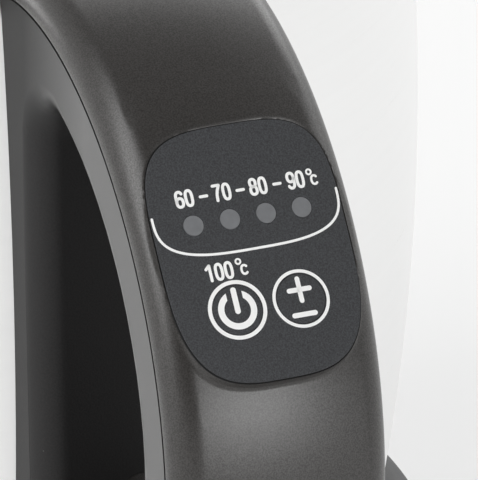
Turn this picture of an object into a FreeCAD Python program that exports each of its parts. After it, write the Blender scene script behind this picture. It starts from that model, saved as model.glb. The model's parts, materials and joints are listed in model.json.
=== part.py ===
import FreeCAD, Part
import math
import os
from types import SimpleNamespace

import Sketcher

# Electric gooseneck kettle on its power base, in millimetres.
# The origin is the centre of the base on the table, +Z is up, the spout points along +X
# and the handle stands at -X. The handle, its panel and the spout are even about Y = 0.

SIZES = {
    # Power base
    "foot_height": 2.0,
    "foot_radius": 6.0,
    "foot_inset": 13.0,
    "base_height": 19.0,
    "base_wall": 2.4,
    "rim_round": 4.0,
    "rim_land": 4.8,
    "seat_depth": 1.6,
    "seat_gap": 2.0,
    "seat_slope": 1.2,
    "base_plate_thickness": 3.0,
    "base_screw_inset": 27.0,
    "base_boss_radius": 3.75,
    "gland_bore": 3.4,
    "gland_wall": 1.0,
    "gland_lip": 1.4,
    # Turning connector
    "post_radius": 15.5,
    "post_height": 17.0,
    "post_chamfer": 1.2,
    "post_flange_radius": 24.0,
    "post_flange_thickness": 2.5,
    "pin_radius": 2.0,
    "pin_gap": 0.6,
    "contact_thickness": 0.6,
    "inner_groove": 5.6,
    "outer_groove": 10.6,
    "groove_width": 2.6,
    "groove_depth": 10.0,
    "blade_gap": 0.7,
    "blade_thickness": 0.8,
    "blade_length": 7.0,
    "collar_width": 3.4,
    "collar_height": 4.0,
    "rest_gap": 0.3,
    "socket_gap": 0.6,
    "socket_roof": 2.5,
    "socket_wall": 4.1,
    "socket_flange": 3.2,
    "socket_flange_thickness": 2.2,
    # Bottom of the kettle
    "bottom_foot_inset": 8.0,
    "bottom_foot_width": 4.0,
    "bottom_flare": 4.0,
    "bottom_height": 16.0,
    "bottom_floor_rise": 1.2,
    "bottom_wall": 2.2,
    "lip_height": 4.0,
    "lip_gap": 0.2,
    "seal_width": 2.0,
    "seal_depth": 1.2,
    "seal_squeeze": 0.1,
    "stud_inset": 16.0,
    "stud_radius": 3.5,
    "screw_boss_radius": 5.5,
    "screw_boss_height": 4.0,
    "relay_board_inset": 29.0,
    "relay_board_length": 24.0,
    "relay_board_width": 40.0,
    "relay_board_rise": 5.0,
    "relay_length": 15.0,
    "relay_width": 19.0,
    "relay_height": 10.0,
    # Body
    "body_radius": 73.0,
    "body_curve": 426.0,
    "belly_height": 62.5,
    "barrel_height": 112.0,
    "shoulder_round": 11.0,
    "shell_wall": 0.8,
    "mouth_radius": 47.0,
    "mouth_collar": 4.0,
    "dry_skirt": 20.0,
    "plate_thickness": 1.2,
    "plate_gap": 0.05,
    "spreader_thickness": 2.5,
    "spreader_radius": 46.0,
    "element_ring": 34.0,
    "element_radius": 3.6,
    "terminal_radius": 1.5,
    "terminal_length": 9.0,
    "cutout_offset": 20.0,
    "cutout_radius": 8.0,
    "cutout_height": 8.0,
    "probe_offset": 20.0,
    "probe_radius": 2.5,
    "probe_rise": 9.0,
    "probe_tail": 5.0,
    "probe_seal_wall": 1.8,
    # Spout
    "spout_rise": 14.0,
    "spout_angle": 25.0,
    "root_length": 16.0,
    "root_bend": 40.0,
    "neck_radius": 9.0,
    "tip_radius": 5.5,
    "spout_wall": 0.8,
    "neck_bend": 26.0,
    "neck_angle": 80.0,
    "neck_straight": 36.0,
    "crook_bend": 17.0,
    "tip_dip": 25.0,
    "tip_straight": 9.88,
    # Lid
    "lid_overhang": 1.2,
    "lid_thickness": 1.2,
    "lid_rise": 6.0,
    "lid_curve": 160.0,
    "lid_landing": 10.0,
    "lid_skirt_gap": 1.6,
    "lid_skirt_height": 13.0,
    "lid_seal_height": 3.0,
    "lid_seal_drop": 4.0,
    "vent_radius": 1.6,
    "vent_circle": 34.0,
    "vent_spread": 18.0,
    "knob_foot": 8.0,
    "knob_waist": 6.0,
    "knob_radius": 14.0,
    "knob_height": 21.0,
    "knob_edge": 6.0,
    "knob_screw_radius": 2.0,
    "knob_screw_head": 4.0,
    "knob_screw_reach": 11.0,
    # Handle
    "spine_depth": 8.5,
    "handle_width": 32.4,
    "handle_height": 64.5,
    "arch_setback": 1.2,
    "arch_radius": 60.0,
    "grip_thickness": 19.0,
    "grip_crown": 80.0,
    "grip_round": 5.0,
    "loop_round": 8.0,
    "lower_radius": 90.0,
    "heel_radius": 27.0,
    "cover_depth": 6.5,
    "cover_roof": 3.2,
    "seam_gap": 0.25,
    "grip_wall": 2.4,
    "frame_floor": 3.0,
    "saddle_gap": 0.15,
    "handle_joint_depth": 12.0,
    "frame_boss_radius": 5.0,
    "cover_pillar_radius": 3.4,
    "upper_screw_angle": 75.0,
    "lower_screw_angle": 14.0,
    "bracket_spread": 28.0,
    "bracket_width": 14.0,
    "bracket_height": 12.0,
    "bracket_depth": 4.5,
    "bracket_gap": 0.1,
    "cap_thickness": 1.2,
    "cable_radius": 1.5,
    "cable_depth": 10.0,
    "cable_clearance": 3.0,
    "cable_side": 8.0,
    "cable_entry": 10.0,
    "cable_bend": 8.0,
    "cable_gap": 0.2,
    # Control panel
    "panel_tilt": 40.0,
    "panel_sink": 1.5,
    "lamp_rise": 2.2,
    "panel_half_width": 14.0,
    "panel_top": 13.4,
    "panel_bottom": 23.4,
    "panel_top_round": 8.0,
    "panel_bottom_round": 10.5,
    "panel_crown": 180.0,
    "overlay_thickness": 0.5,
    "overlay_gap": 0.15,
    "pad_margin": 0.4,
    "pad_slope": 0.12,
    "pad_depth": 5.5,
    "lamp_pitch": 5.37,
    "lamp_radius": 1.46,
    "lamp_gap": 0.05,
    "lamp_length": 7.6,
    "key_spacing": 9.45,
    "key_drop": 12.8,
    "key_radius": 3.55,
    "key_gap": 0.12,
    "key_travel": 0.4,
    "key_depth": 4.8,
    "key_flange": 0.8,
    "key_flange_thickness": 0.7,
    "key_well_gap": 0.3,
    "switch_side": 6.0,
    "switch_height": 3.0,
    "switch_gap": 0.1,
    "board_half_width": 12.5,
    "board_top": 12.0,
    "board_bottom": 22.5,
    "board_thickness": 1.6,
    "board_post_radius": 2.4,
    "board_post_top": 9.0,
    "board_post_bottom": 20.0,
    "led_length": 2.0,
    "led_width": 1.2,
    "led_height": 1.0,
    # Screws
    "screw_head_radius": 3.0,
    "screw_head_height": 1.8,
    "screw_radius": 1.5,
    "screw_length": 9.0,
    "screw_recess_gap": 0.2,
    "board_screw_head": 2.0,
    "board_screw_radius": 1.0,
    "board_screw_length": 5.0,
}

FOOT_ANGLES = (45, 135, 225, 315)
SCREW_ANGLES = (0, 120, 240)
ELEMENT_SWEEP = 310
COUNTER_CLOCKWISE = 1
CLOCKWISE = -1

doc = FreeCAD.newDocument("gooseneck_kettle")
sheet = doc.addObject("Spreadsheet::Sheet", "Sizes")
for row, (alias, number) in enumerate(SIZES.items(), start=1):
    sheet.set(f"A{row}", alias)
    sheet.set(f"B{row}", str(number))
    sheet.setAlias(f"B{row}", alias)
doc.recompute()


class Size:
    """A number together with the spreadsheet formula that it comes from."""

    def __init__(self, value, formula):
        self.value = float(value)
        self.formula = formula

    def __add__(self, other):
        other = as_size(other)
        return Size(self.value + other.value, f"({self.formula} + {other.formula})")

    def __radd__(self, other):
        return as_size(other) + self

    def __neg__(self):
        return Size(-self.value, f"(-{self.formula})")

    def __sub__(self, other):
        return self + (-as_size(other))

    def __rsub__(self, other):
        return as_size(other) - self

    def __mul__(self, other):
        other = as_size(other)
        return Size(self.value * other.value, f"({self.formula} * {other.formula})")

    def __rmul__(self, other):
        return as_size(other) * self

    def __truediv__(self, other):
        other = as_size(other)
        return Size(self.value / other.value, f"({self.formula} / {other.formula})")

    def root(self):
        return Size(math.sqrt(self.value), f"sqrt({self.formula})")


def as_size(item):
    """Passes a size through and turns a plain number into one."""
    return item if isinstance(item, Size) else Size(item, f"({float(item)!r})")


s = SimpleNamespace(**{alias: Size(getattr(sheet, alias), f"Sizes.{alias}") for alias in SIZES})
n = SimpleNamespace(**{alias: float(getattr(sheet, alias)) for alias in SIZES})
Vector = FreeCAD.Vector
nodes = []


def keep(label, item):
    """Names a finished sub-part and lists it for export."""
    item.Label = label
    nodes.append(item)
    return item


def bind(item, name, length):
    item.setExpression(name, as_size(length).formula)


def place(item, x, y, z):
    for axis, length in zip("xyz", (x, y, z)):
        bind(item, f"Placement.Base.{axis}", length)


def arc_geometry(start, end, radius, turn):
    """The shorter arc of a radius from start to end, in the plane of a sketch."""
    chord = end - start
    rise = math.sqrt(radius ** 2 - (chord.Length / 2) ** 2)
    left = Vector(-chord.y, chord.x, 0).normalize()
    centre = (start + end) / 2 + left * rise * turn
    first, last = (start, end) if turn == COUNTER_CLOCKWISE else (end, start)
    angles = [math.atan2(point.y - centre.y, point.x - centre.x) for point in (first, last)]
    return Part.ArcOfCircle(Part.Circle(centre, Vector(0, 0, 1), radius), *angles)


def lathe(name, corners):
    """Turns a closed outline of (radius, height) corners about the vertical axis.

    A corner may also hold the radius and the turn of the arc that leads to the next corner.
    """
    body = doc.addObject("PartDesign::Body", f"{name}_body")
    sketch = body.newObject("Sketcher::SketchObject", f"{name}_outline")
    plane = next(item for item in body.Origin.OriginFeatures if item.Role == "XZ_Plane")
    sketch.AttachmentSupport = [(plane, "")]
    sketch.MapMode = "FlatFace"
    points = [Vector(as_size(c[0]).value, as_size(c[1]).value, 0) for c in corners]
    ends = []
    for index, corner in enumerate(corners):
        start, end = points[index], points[(index + 1) % len(points)]
        if len(corner) == 2:
            edge = sketch.addGeometry(Part.LineSegment(start, end), False)
            ends.append((edge, 1, 2))
            continue
        radius, turn = as_size(corner[2]), corner[3]
        edge = sketch.addGeometry(arc_geometry(start, end, radius.value, turn), False)
        ends.append((edge, 1, 2) if turn == COUNTER_CLOCKWISE else (edge, 2, 1))
        rule = sketch.addConstraint(Sketcher.Constraint("Radius", edge, radius.value))
        sketch.setExpression(f"Constraints[{rule}]", radius.formula)
    for index, corner in enumerate(corners):
        before, after = ends[index - 1], ends[index]
        sketch.addConstraint(
            Sketcher.Constraint("Coincident", before[0], before[2], after[0], after[1])
        )
        for kind, axis, length in (("DistanceX", -2, corner[0]), ("DistanceY", -1, corner[1])):
            if not isinstance(length, Size):
                sketch.addConstraint(Sketcher.Constraint("PointOnObject", after[0], after[1], axis))
                continue
            rule = sketch.addConstraint(
                Sketcher.Constraint(kind, -1, 1, after[0], after[1], length.value)
            )
            sketch.setExpression(f"Constraints[{rule}]", length.formula)
    turned = body.newObject("PartDesign::Revolution", f"{name}_turned")
    turned.Profile = sketch
    turned.ReferenceAxis = (sketch, ["V_Axis"])
    turned.Angle = 360
    return body


def ring(name, inner, outer, low, high):
    """A plain ring of square section about the vertical axis."""
    return lathe(name, [(inner, low), (outer, low), (outer, high), (inner, high)])


def cylinder(name, radius, height, x=0, y=0, z=0):
    item = doc.addObject("Part::Cylinder", name)
    bind(item, "Radius", radius)
    bind(item, "Height", height)
    place(item, x, y, z)
    return item


def cylinder_along_x(name, radius, height, x=0, y=0, z=0):
    item = cylinder(name, radius, height, x, y, z)
    item.Placement.Rotation = FreeCAD.Rotation(Vector(0, 1, 0), 90)
    return item


def box(name, length, width, height, x, y, z):
    """A block that starts at x and z and is centred on y."""
    item = doc.addObject("Part::Box", name)
    bind(item, "Length", length)
    bind(item, "Width", width)
    bind(item, "Height", height)
    place(item, x, y - as_size(width) / 2, z)
    return item


def fuse(name, items):
    item = doc.addObject("Part::MultiFuse", name)
    item.Shapes = list(items)
    return item


def cut(name, base, tools):
    item = doc.addObject("Part::Cut", name)
    item.Base = base
    item.Tool = tools[0] if len(tools) == 1 else fuse(f"{name}_tools", tools)
    return item


def group(name, items):
    item = doc.addObject("Part::Compound", name)
    item.Links = list(items)
    return item


def feature(label, shape, placement=FreeCAD.Placement()):
    """A sub-part whose shape is worked out here from the sizes in the sheet."""
    item = doc.addObject("Part::Feature", f"{label}_shape")
    item.Shape = shape
    item.Placement = placement
    return keep(label, item)


def on_circle(radius, angle):
    turn = math.radians(angle)
    return radius * math.cos(turn), radius * math.sin(turn)


def upright_screw(name, x, y, head_bottom):
    """A pan-head screw that points up, with its head at the bottom."""
    head = cylinder(f"{name}_head", s.screw_head_radius, s.screw_head_height, x, y, head_bottom)
    shank_bottom = head_bottom + s.screw_head_height
    shank = cylinder(f"{name}_shank", s.screw_radius, s.screw_length, x, y, shank_bottom)
    return fuse(name, [head, shank])


# Heights that the pieces share
base_low = s.foot_height
base_rim = base_low + s.base_height
seat = base_rim - s.seat_depth
post_top = seat + s.post_height
kettle_low = seat + s.rest_gap
floor_low = kettle_low + s.bottom_floor_rise
floor_top = floor_low + s.bottom_wall
shell_low = kettle_low + s.bottom_height
belly = shell_low + s.belly_height
shoulder = shell_low + s.barrel_height
plate_low = shell_low + s.dry_skirt
plate_top = plate_low + s.plate_thickness
spreader_low = plate_low - s.spreader_thickness


def barrel_radius(height, inset=0):
    """Radius of the barrel at a height, or of the same curve set in by a wall."""
    curve = s.body_curve - inset
    rise = height - belly
    return s.body_radius - s.body_curve + (curve * curve - rise * rise).root()


# Power base: its seat takes the kettle's foot ring, and the rim stands round the seat
bottom_foot_radius = s.body_radius - s.bottom_foot_inset
seat_radius = bottom_foot_radius + s.seat_gap
base_radius = seat_radius + s.seat_slope + s.rim_land + s.rim_round
base_inside = base_radius - s.base_wall
seat_under = seat - s.base_wall
base_plate_top = base_low + s.base_plate_thickness

cover_blank = lathe("base_cover_blank", [
    (base_radius, base_low),
    (base_radius, base_rim - s.rim_round, s.rim_round, COUNTER_CLOCKWISE),
    (base_radius - s.rim_round, base_rim),
    (seat_radius + s.seat_slope, base_rim),
    (seat_radius, seat),
    (s.post_radius, seat),
    (s.post_radius, seat_under),
    (base_inside, seat_under),
    (base_inside, base_low),
])
gland_radius = s.gland_bore + s.gland_wall
gland_height = (base_plate_top + seat_under) / 2
gland_hole_length = s.base_wall * 2
gland_hole = cylinder_along_x(
    "gland_hole", gland_radius, gland_hole_length, -base_radius, 0, gland_height
)
cover_bosses = []
cover_pilots = []
plate_holes = []
base_screws = []
for index, angle in enumerate(SCREW_ANGLES):
    x, y = on_circle(base_radius - s.base_screw_inset, angle)
    boss_height = seat_under - base_plate_top
    cover_bosses.append(
        cylinder(f"cover_boss_{index}", s.base_boss_radius, boss_height, x, y, base_plate_top)
    )
    pilot_height = s.screw_length + s.screw_head_height
    cover_pilots.append(
        cylinder(f"cover_pilot_{index}", s.screw_radius, pilot_height, x, y, base_low)
    )
    head_room = s.screw_head_radius + s.screw_recess_gap
    plate_holes.append(
        cylinder(f"plate_recess_{index}", head_room, s.screw_head_height, x, y, base_low)
    )
    plate_holes.append(
        cylinder(f"plate_hole_{index}", s.screw_radius, s.base_plate_thickness, x, y, base_low)
    )
    base_screws.append(upright_screw(f"base_screw_{index}", x, y, base_low))
cover_solid = fuse("base_cover_solid", [cover_blank] + cover_bosses)
keep("base_cover", cut("base_cover_cut", cover_solid, [gland_hole] + cover_pilots))

plate_blank = cylinder("base_plate_blank", base_inside, s.base_plate_thickness, 0, 0, base_low)
keep("base_plate", cut("base_plate_cut", plate_blank, plate_holes))
keep("base_screws", group("base_screw_group", base_screws))

feet = []
for index, angle in enumerate(FOOT_ANGLES):
    x, y = on_circle(base_radius - s.foot_inset, angle)
    feet.append(cylinder(f"foot_{index}", s.foot_radius, s.foot_height, x, y, 0))
keep("base_feet", group("base_foot_group", feet))

gland_out = -base_radius - s.gland_lip
gland_length = s.base_wall + s.gland_lip * 2 + s.gland_wall
gland_tube = cylinder_along_x("gland_tube", gland_radius, gland_length, gland_out, 0, gland_height)
gland_lip = cylinder_along_x(
    "gland_outer_lip", gland_radius + s.gland_lip, s.gland_lip, gland_out, 0, gland_height
)
gland_nut = cylinder_along_x(
    "gland_inner_lip", gland_radius + s.gland_wall, s.gland_lip,
    gland_out + gland_length - s.gland_lip, 0, gland_height,
)
gland_passage = cylinder_along_x(
    "gland_bore_hole", s.gland_bore, gland_length, gland_out, 0, gland_height
)
gland_solid = fuse("gland_solid", [gland_tube, gland_lip, gland_nut])
keep("cord_gland", cut("gland_cut", gland_solid, [gland_passage]))

# Turning connector
pin_socket = s.pin_radius + s.pin_gap
post_bore = pin_socket + s.contact_thickness
groove_floor = post_top - s.groove_depth
inner_groove_out = s.inner_groove + s.groove_width
outer_groove_out = s.outer_groove + s.groove_width
post_low = seat_under - s.post_flange_thickness
keep("base_connector", lathe("base_connector", [
    (post_bore, post_low),
    (s.post_flange_radius, post_low),
    (s.post_flange_radius, seat_under),
    (s.post_radius, seat_under),
    (s.post_radius, post_top - s.post_chamfer),
    (s.post_radius - s.post_chamfer, post_top),
    (outer_groove_out, post_top),
    (outer_groove_out, groove_floor),
    (s.outer_groove, groove_floor),
    (s.outer_groove, post_top),
    (inner_groove_out, post_top),
    (inner_groove_out, groove_floor),
    (s.inner_groove, groove_floor),
    (s.inner_groove, post_top),
    (post_bore, post_top),
]))
contact_top = post_top - s.post_chamfer
inner_contact = inner_groove_out - s.contact_thickness
outer_contact = outer_groove_out - s.contact_thickness
keep("base_contacts", group("base_contact_group", [
    ring("centre_contact", pin_socket, post_bore, post_low, contact_top),
    ring("inner_contact", inner_contact, inner_groove_out, groove_floor, contact_top),
    ring("outer_contact", outer_contact, outer_groove_out, groove_floor, contact_top),
]))

collar_in = s.post_radius + s.rest_gap
collar_out = collar_in + s.collar_width
collar_low = seat + s.rest_gap
collar_top = collar_low + s.collar_height
keep("swivel_collar", ring("swivel_collar", collar_in, collar_out, collar_low, collar_top))

collar_room = collar_out + s.socket_gap
socket_radius = s.post_radius + s.socket_gap
socket_under = post_top + s.socket_gap
socket_top = socket_under + s.socket_roof
hub_radius = collar_room + s.socket_wall
hub_flange = hub_radius + s.socket_flange
hub_flange_top = floor_top + s.socket_flange_thickness
keep("kettle_connector", lathe("kettle_connector", [
    (collar_room, floor_low),
    (hub_radius, floor_low),
    (hub_radius, floor_top),
    (hub_flange, floor_top),
    (hub_flange, hub_flange_top),
    (hub_radius, hub_flange_top),
    (hub_radius, socket_top),
    (s.pin_radius, socket_top),
    (s.pin_radius, socket_under),
    (socket_radius, socket_under),
    (socket_radius, collar_top + s.socket_gap),
    (collar_room, collar_top + s.socket_gap),
]))
blade_low = socket_under - s.blade_length
inner_blade = s.inner_groove + s.blade_gap
outer_blade = s.outer_groove + s.blade_gap
pin_length = s.blade_length + s.socket_roof + s.socket_flange
keep("kettle_contacts", group("kettle_contact_group", [
    cylinder("earth_pin", s.pin_radius, pin_length, 0, 0, blade_low),
    ring("inner_blade", inner_blade, inner_blade + s.blade_thickness, blade_low, socket_under),
    ring("outer_blade", outer_blade, outer_blade + s.blade_thickness, blade_low, socket_under),
]))

# Bottom of the kettle
shell_foot = barrel_radius(shell_low)
lip_out = barrel_radius(shell_low, s.shell_wall) - s.lip_gap
lip_in = lip_out - s.bottom_wall
lip_top = shell_low + s.lip_height
seal_low = shell_low + (s.lip_height - s.seal_width) / 2
seal_top = seal_low + s.seal_width
seal_in = lip_out - s.seal_depth
bottom_blank = lathe("bottom_blank", [
    (bottom_foot_radius - s.bottom_foot_width, kettle_low),
    (bottom_foot_radius, kettle_low),
    (shell_foot, kettle_low + s.bottom_flare),
    (shell_foot, shell_low),
    (lip_out, shell_low),
    (lip_out, seal_low),
    (seal_in, seal_low),
    (seal_in, seal_top),
    (lip_out, seal_top),
    (lip_out, lip_top),
    (lip_in, lip_top),
    (lip_in, floor_top + s.bottom_flare),
    (lip_in - s.bottom_flare, floor_top),
    (hub_radius, floor_top),
    (hub_radius, floor_low),
    (bottom_foot_radius - s.bottom_foot_width, floor_low),
])
keep("bottom_seal", ring("bottom_seal", seal_in, lip_out + s.seal_squeeze, seal_low, seal_top))

board_low = floor_top + s.relay_board_rise
board_back = s.relay_board_inset - s.body_radius - s.relay_board_length / 2
bottom_posts = []
bottom_holes = []
studs = []
bottom_screws = []
for index, angle in enumerate(SCREW_ANGLES):
    x, y = on_circle(s.body_radius - s.stud_inset, angle)
    boss_top = floor_top + s.screw_boss_height
    bottom_posts.append(
        cylinder(f"bottom_boss_{index}", s.screw_boss_radius, s.screw_boss_height, x, y, floor_top)
    )
    head_bottom = boss_top - s.screw_head_height * 2
    recess_height = head_bottom + s.screw_head_height - kettle_low
    head_room = s.screw_head_radius + s.screw_recess_gap
    bottom_holes.append(cylinder(f"bottom_recess_{index}", head_room, recess_height, x, y, kettle_low))
    bottom_holes.append(
        cylinder(f"bottom_hole_{index}", s.screw_radius, boss_top - kettle_low, x, y, kettle_low)
    )
    stud = cylinder(f"stud_blank_{index}", s.stud_radius, plate_low - boss_top, x, y, boss_top)
    thread = cylinder(f"stud_thread_{index}", s.screw_radius, s.screw_length, x, y, head_bottom)
    reach = cylinder(
        f"stud_reach_{index}", s.screw_radius, s.screw_length, x, y, head_bottom + s.screw_head_height
    )
    studs.append(cut(f"stud_{index}", stud, [thread, reach]))
    bottom_screws.append(upright_screw(f"bottom_screw_{index}", x, y, head_bottom))
for index, (end, side) in enumerate([(0, -1), (0, 1), (1, -1), (1, 1)]):
    x = board_back + s.bottom_wall + end * (s.relay_board_length - s.bottom_wall * 2)
    y = side * (s.relay_board_width / 2 - s.bottom_wall)
    bottom_posts.append(
        cylinder(f"board_rest_{index}", s.bottom_wall, s.relay_board_rise, x, y, floor_top)
    )
bottom_solid = fuse("bottom_solid", [bottom_blank] + bottom_posts)
keep("bottom_cover", cut("bottom_cover_cut", bottom_solid, bottom_holes))
keep("plate_studs", group("stud_group", studs))
keep("bottom_screws", group("bottom_screw_group", bottom_screws))

keep("relay_board", box(
    "relay_board_block", s.relay_board_length, s.relay_board_width, s.board_thickness,
    board_back, 0, board_low,
))
relay_low = board_low + s.board_thickness
relay_side = s.relay_width / 2 - s.relay_board_width / 2
keep("power_relay", box(
    "power_relay_block", s.relay_length, s.relay_width, s.relay_height,
    board_back + s.relay_board_length - s.relay_length, relay_side, relay_low,
))

# Body shell, its floor and the heater
lean = (shoulder - belly) / s.body_curve
upright = (1 - lean * lean).root()
shoulder_centre = barrel_radius(shoulder) - s.shoulder_round * upright
shoulder_height = shoulder - s.shoulder_round * lean
shoulder_top = shoulder_height + s.shoulder_round
shoulder_inner = s.shoulder_round - s.shell_wall
mouth = shoulder_top + s.mouth_collar
shell_blank = lathe("shell_blank", [
    (shell_foot, shell_low, s.body_curve, COUNTER_CLOCKWISE),
    (barrel_radius(shoulder), shoulder, s.shoulder_round, COUNTER_CLOCKWISE),
    (shoulder_centre, shoulder_top),
    (s.mouth_radius + s.shell_wall, shoulder_top),
    (s.mouth_radius + s.shell_wall, mouth),
    (s.mouth_radius, mouth),
    (s.mouth_radius, shoulder_top - s.shell_wall),
    (shoulder_centre, shoulder_top - s.shell_wall, shoulder_inner, CLOCKWISE),
    (
        shoulder_centre + shoulder_inner * upright, shoulder_height + shoulder_inner * lean,
        s.body_curve - s.shell_wall, CLOCKWISE,
    ),
    (barrel_radius(shell_low, s.shell_wall), shell_low),
])

arch_height = shell_low + s.handle_height
cable_height = plate_low - s.cable_clearance
cable_hole = cylinder_along_x(
    "cable_hole", s.cable_radius + s.cable_gap, s.body_radius,
    -s.body_radius, s.cable_side, cable_height,
)
spout_height = plate_top + s.spout_rise
spout_turn = math.radians(n.spout_angle)
spout_direction = Vector(math.cos(spout_turn), 0, math.sin(spout_turn))
spout_tilt = FreeCAD.Rotation(Vector(0, 0, 1), spout_direction)
spout_start = barrel_radius(spout_height)
spout_bore = s.neck_radius - s.spout_wall
root_reach = s.root_length * 2
spout_hole = cylinder(
    "spout_hole", spout_bore, root_reach,
    spout_start - s.root_length * spout_direction.x, 0,
    spout_height - s.root_length * spout_direction.z,
)
spout_hole.Placement.Rotation = spout_tilt
keep("body_shell", cut("body_shell_cut", shell_blank, [spout_hole, cable_hole]))

plate_radius = barrel_radius(plate_low, s.shell_wall) - s.plate_gap
probe_room = s.probe_radius + s.probe_seal_wall
floor_depth = s.plate_thickness + s.spreader_thickness
probe_hole = cylinder("probe_hole", probe_room, floor_depth, 0, -s.probe_offset, spreader_low)
plate_disc = cylinder("heater_plate_disc", plate_radius, s.plate_thickness, 0, 0, plate_low)
spreader_disc = cylinder("spreader_disc", s.spreader_radius, s.spreader_thickness, 0, 0, spreader_low)
keep("heater_plate", cut("heater_plate_cut", plate_disc, [probe_hole]))
keep("heat_spreader", cut("heat_spreader_cut", spreader_disc, [probe_hole]))

element_height = spreader_low - s.element_radius
element = doc.addObject("Part::Torus", "element_tube")
bind(element, "Radius1", s.element_ring)
bind(element, "Radius2", s.element_radius)
element.Angle3 = ELEMENT_SWEEP
place(element, 0, 0, element_height)
terminals = []
for angle in (0, ELEMENT_SWEEP):
    x, y = on_circle(s.element_ring, angle)
    terminals.append(cylinder(
        f"terminal_{angle}", s.terminal_radius, s.terminal_length,
        x, y, element_height - s.terminal_length,
    ))
keep("heating_element", fuse("heating_element_fuse", [element] + terminals))
keep("thermal_cutout", cylinder(
    "cutout_can", s.cutout_radius, s.cutout_height, 0, s.cutout_offset, spreader_low - s.cutout_height
))
probe_length = floor_depth + s.probe_rise + s.probe_tail
probe_low = spreader_low - s.probe_tail
keep("temperature_probe", cylinder(
    "probe_stem", s.probe_radius, probe_length, 0, -s.probe_offset, probe_low
))
probe_seal_blank = cylinder(
    "probe_seal_blank", probe_room, floor_depth, 0, -s.probe_offset, spreader_low
)
probe_bore = cylinder("probe_bore", s.probe_radius, floor_depth, 0, -s.probe_offset, spreader_low)
keep("probe_seal", cut("probe_seal_cut", probe_seal_blank, [probe_bore]))

# Lid
lid_low = mouth + s.rest_gap
lid_edge = s.mouth_radius + s.shell_wall + s.lid_overhang
lid_top = lid_low + s.lid_thickness + s.lid_rise
lid_under = lid_top - s.lid_thickness
skirt_out = s.mouth_radius - s.lid_skirt_gap
skirt_in = skirt_out - s.lid_thickness
skirt_low = lid_low - s.lid_skirt_height
lid_blank = lathe("lid_blank", [
    (s.knob_screw_radius, lid_under),
    (s.lid_landing, lid_under, s.lid_curve, CLOCKWISE),
    (skirt_in, lid_low),
    (skirt_in, skirt_low),
    (skirt_out, skirt_low),
    (skirt_out, lid_low),
    (lid_edge, lid_low),
    (lid_edge, lid_low + s.lid_thickness, s.lid_curve, COUNTER_CLOCKWISE),
    (s.lid_landing, lid_top),
    (s.knob_screw_radius, lid_top),
])
vents = []
for index, step in enumerate((-1, 0, 1)):
    x, y = on_circle(s.vent_circle, step * n.vent_spread)
    vents.append(
        cylinder(f"vent_{index}", s.vent_radius, s.lid_rise + s.lid_thickness, x, y, lid_low)
    )
keep("lid_cover", cut("lid_cover_cut", lid_blank, vents))
lid_seal_top = lid_low - s.lid_seal_drop
keep("lid_seal", ring(
    "lid_seal", skirt_out, s.mouth_radius - s.rest_gap, lid_seal_top - s.lid_seal_height, lid_seal_top
))
knob_top = lid_top + s.knob_height
knob_screw_top = lid_top + s.knob_screw_reach
knob_crown_radius = s.knob_radius - s.knob_edge / 2
knob_crown_rise = s.knob_edge / 4
knob_crown_ball = (
    (knob_crown_radius * knob_crown_radius + knob_crown_rise * knob_crown_rise) / (knob_crown_rise * 2)
)
keep("lid_knob", lathe("lid_knob", [
    (s.knob_screw_radius, lid_top),
    (s.knob_foot, lid_top),
    (s.knob_waist, lid_top + s.knob_edge),
    (s.knob_radius, knob_top - s.knob_edge, s.knob_edge, COUNTER_CLOCKWISE),
    (knob_crown_radius, knob_top - knob_crown_rise, knob_crown_ball, COUNTER_CLOCKWISE),
    (0, knob_top),
    (0, knob_screw_top),
    (s.knob_screw_radius, knob_screw_top),
]))
knob_screw_low = lid_under - s.screw_head_height
keep("knob_screw", fuse("knob_screw_fuse", [
    cylinder("knob_screw_head", s.knob_screw_head, s.screw_head_height, 0, 0, knob_screw_low),
    cylinder("knob_screw_shank", s.knob_screw_radius, knob_screw_top - lid_under, 0, 0, lid_under),
]))


# Shapes that follow a bent path start here and are worked out from the sheet's numbers
def body_envelope(gap):
    """The solid that the body shell fills, grown by a gap, its seam clear of handle and spout."""
    centre_radius = n.body_radius - n.body_curve
    curve = n.body_curve + gap
    low = shell_low.value
    lean_angle = math.asin(lean.value)

    def on_barrel(angle):
        return Vector(centre_radius + curve * math.cos(angle), 0, belly.value + curve * math.sin(angle))

    def on_shoulder(angle):
        radius = n.shoulder_round + gap
        x = shoulder_centre.value + radius * math.cos(angle)
        return Vector(x, 0, shoulder_height.value + radius * math.sin(angle))

    low_angle = math.asin((low - belly.value) / curve)
    start, end = on_barrel(low_angle), on_barrel(lean_angle)
    peak = on_shoulder(math.pi / 2)
    edges = [
        Part.Arc(start, on_barrel((low_angle + lean_angle) / 2), end).toShape(),
        Part.Arc(end, on_shoulder((lean_angle + math.pi / 2) / 2), peak).toShape(),
        Part.LineSegment(peak, Vector(0, 0, peak.z)).toShape(),
        Part.LineSegment(Vector(0, 0, peak.z), Vector(0, 0, low)).toShape(),
        Part.LineSegment(Vector(0, 0, low), start).toShape(),
    ]
    solid = Part.Face(Part.Wire(edges)).revolve(Vector(0, 0, 0), Vector(0, 0, 1), 360)
    solid.rotate(Vector(0, 0, 0), Vector(0, 0, 1), 90)
    return solid


def rod(radius, start, end):
    """A round bar between two points."""
    return Part.makeCylinder(radius, (end - start).Length, start, end - start)


# Spout
spout_origin = Vector(spout_start.value, 0, spout_height.value)
neck_start = spout_origin + spout_direction * n.root_length


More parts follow.
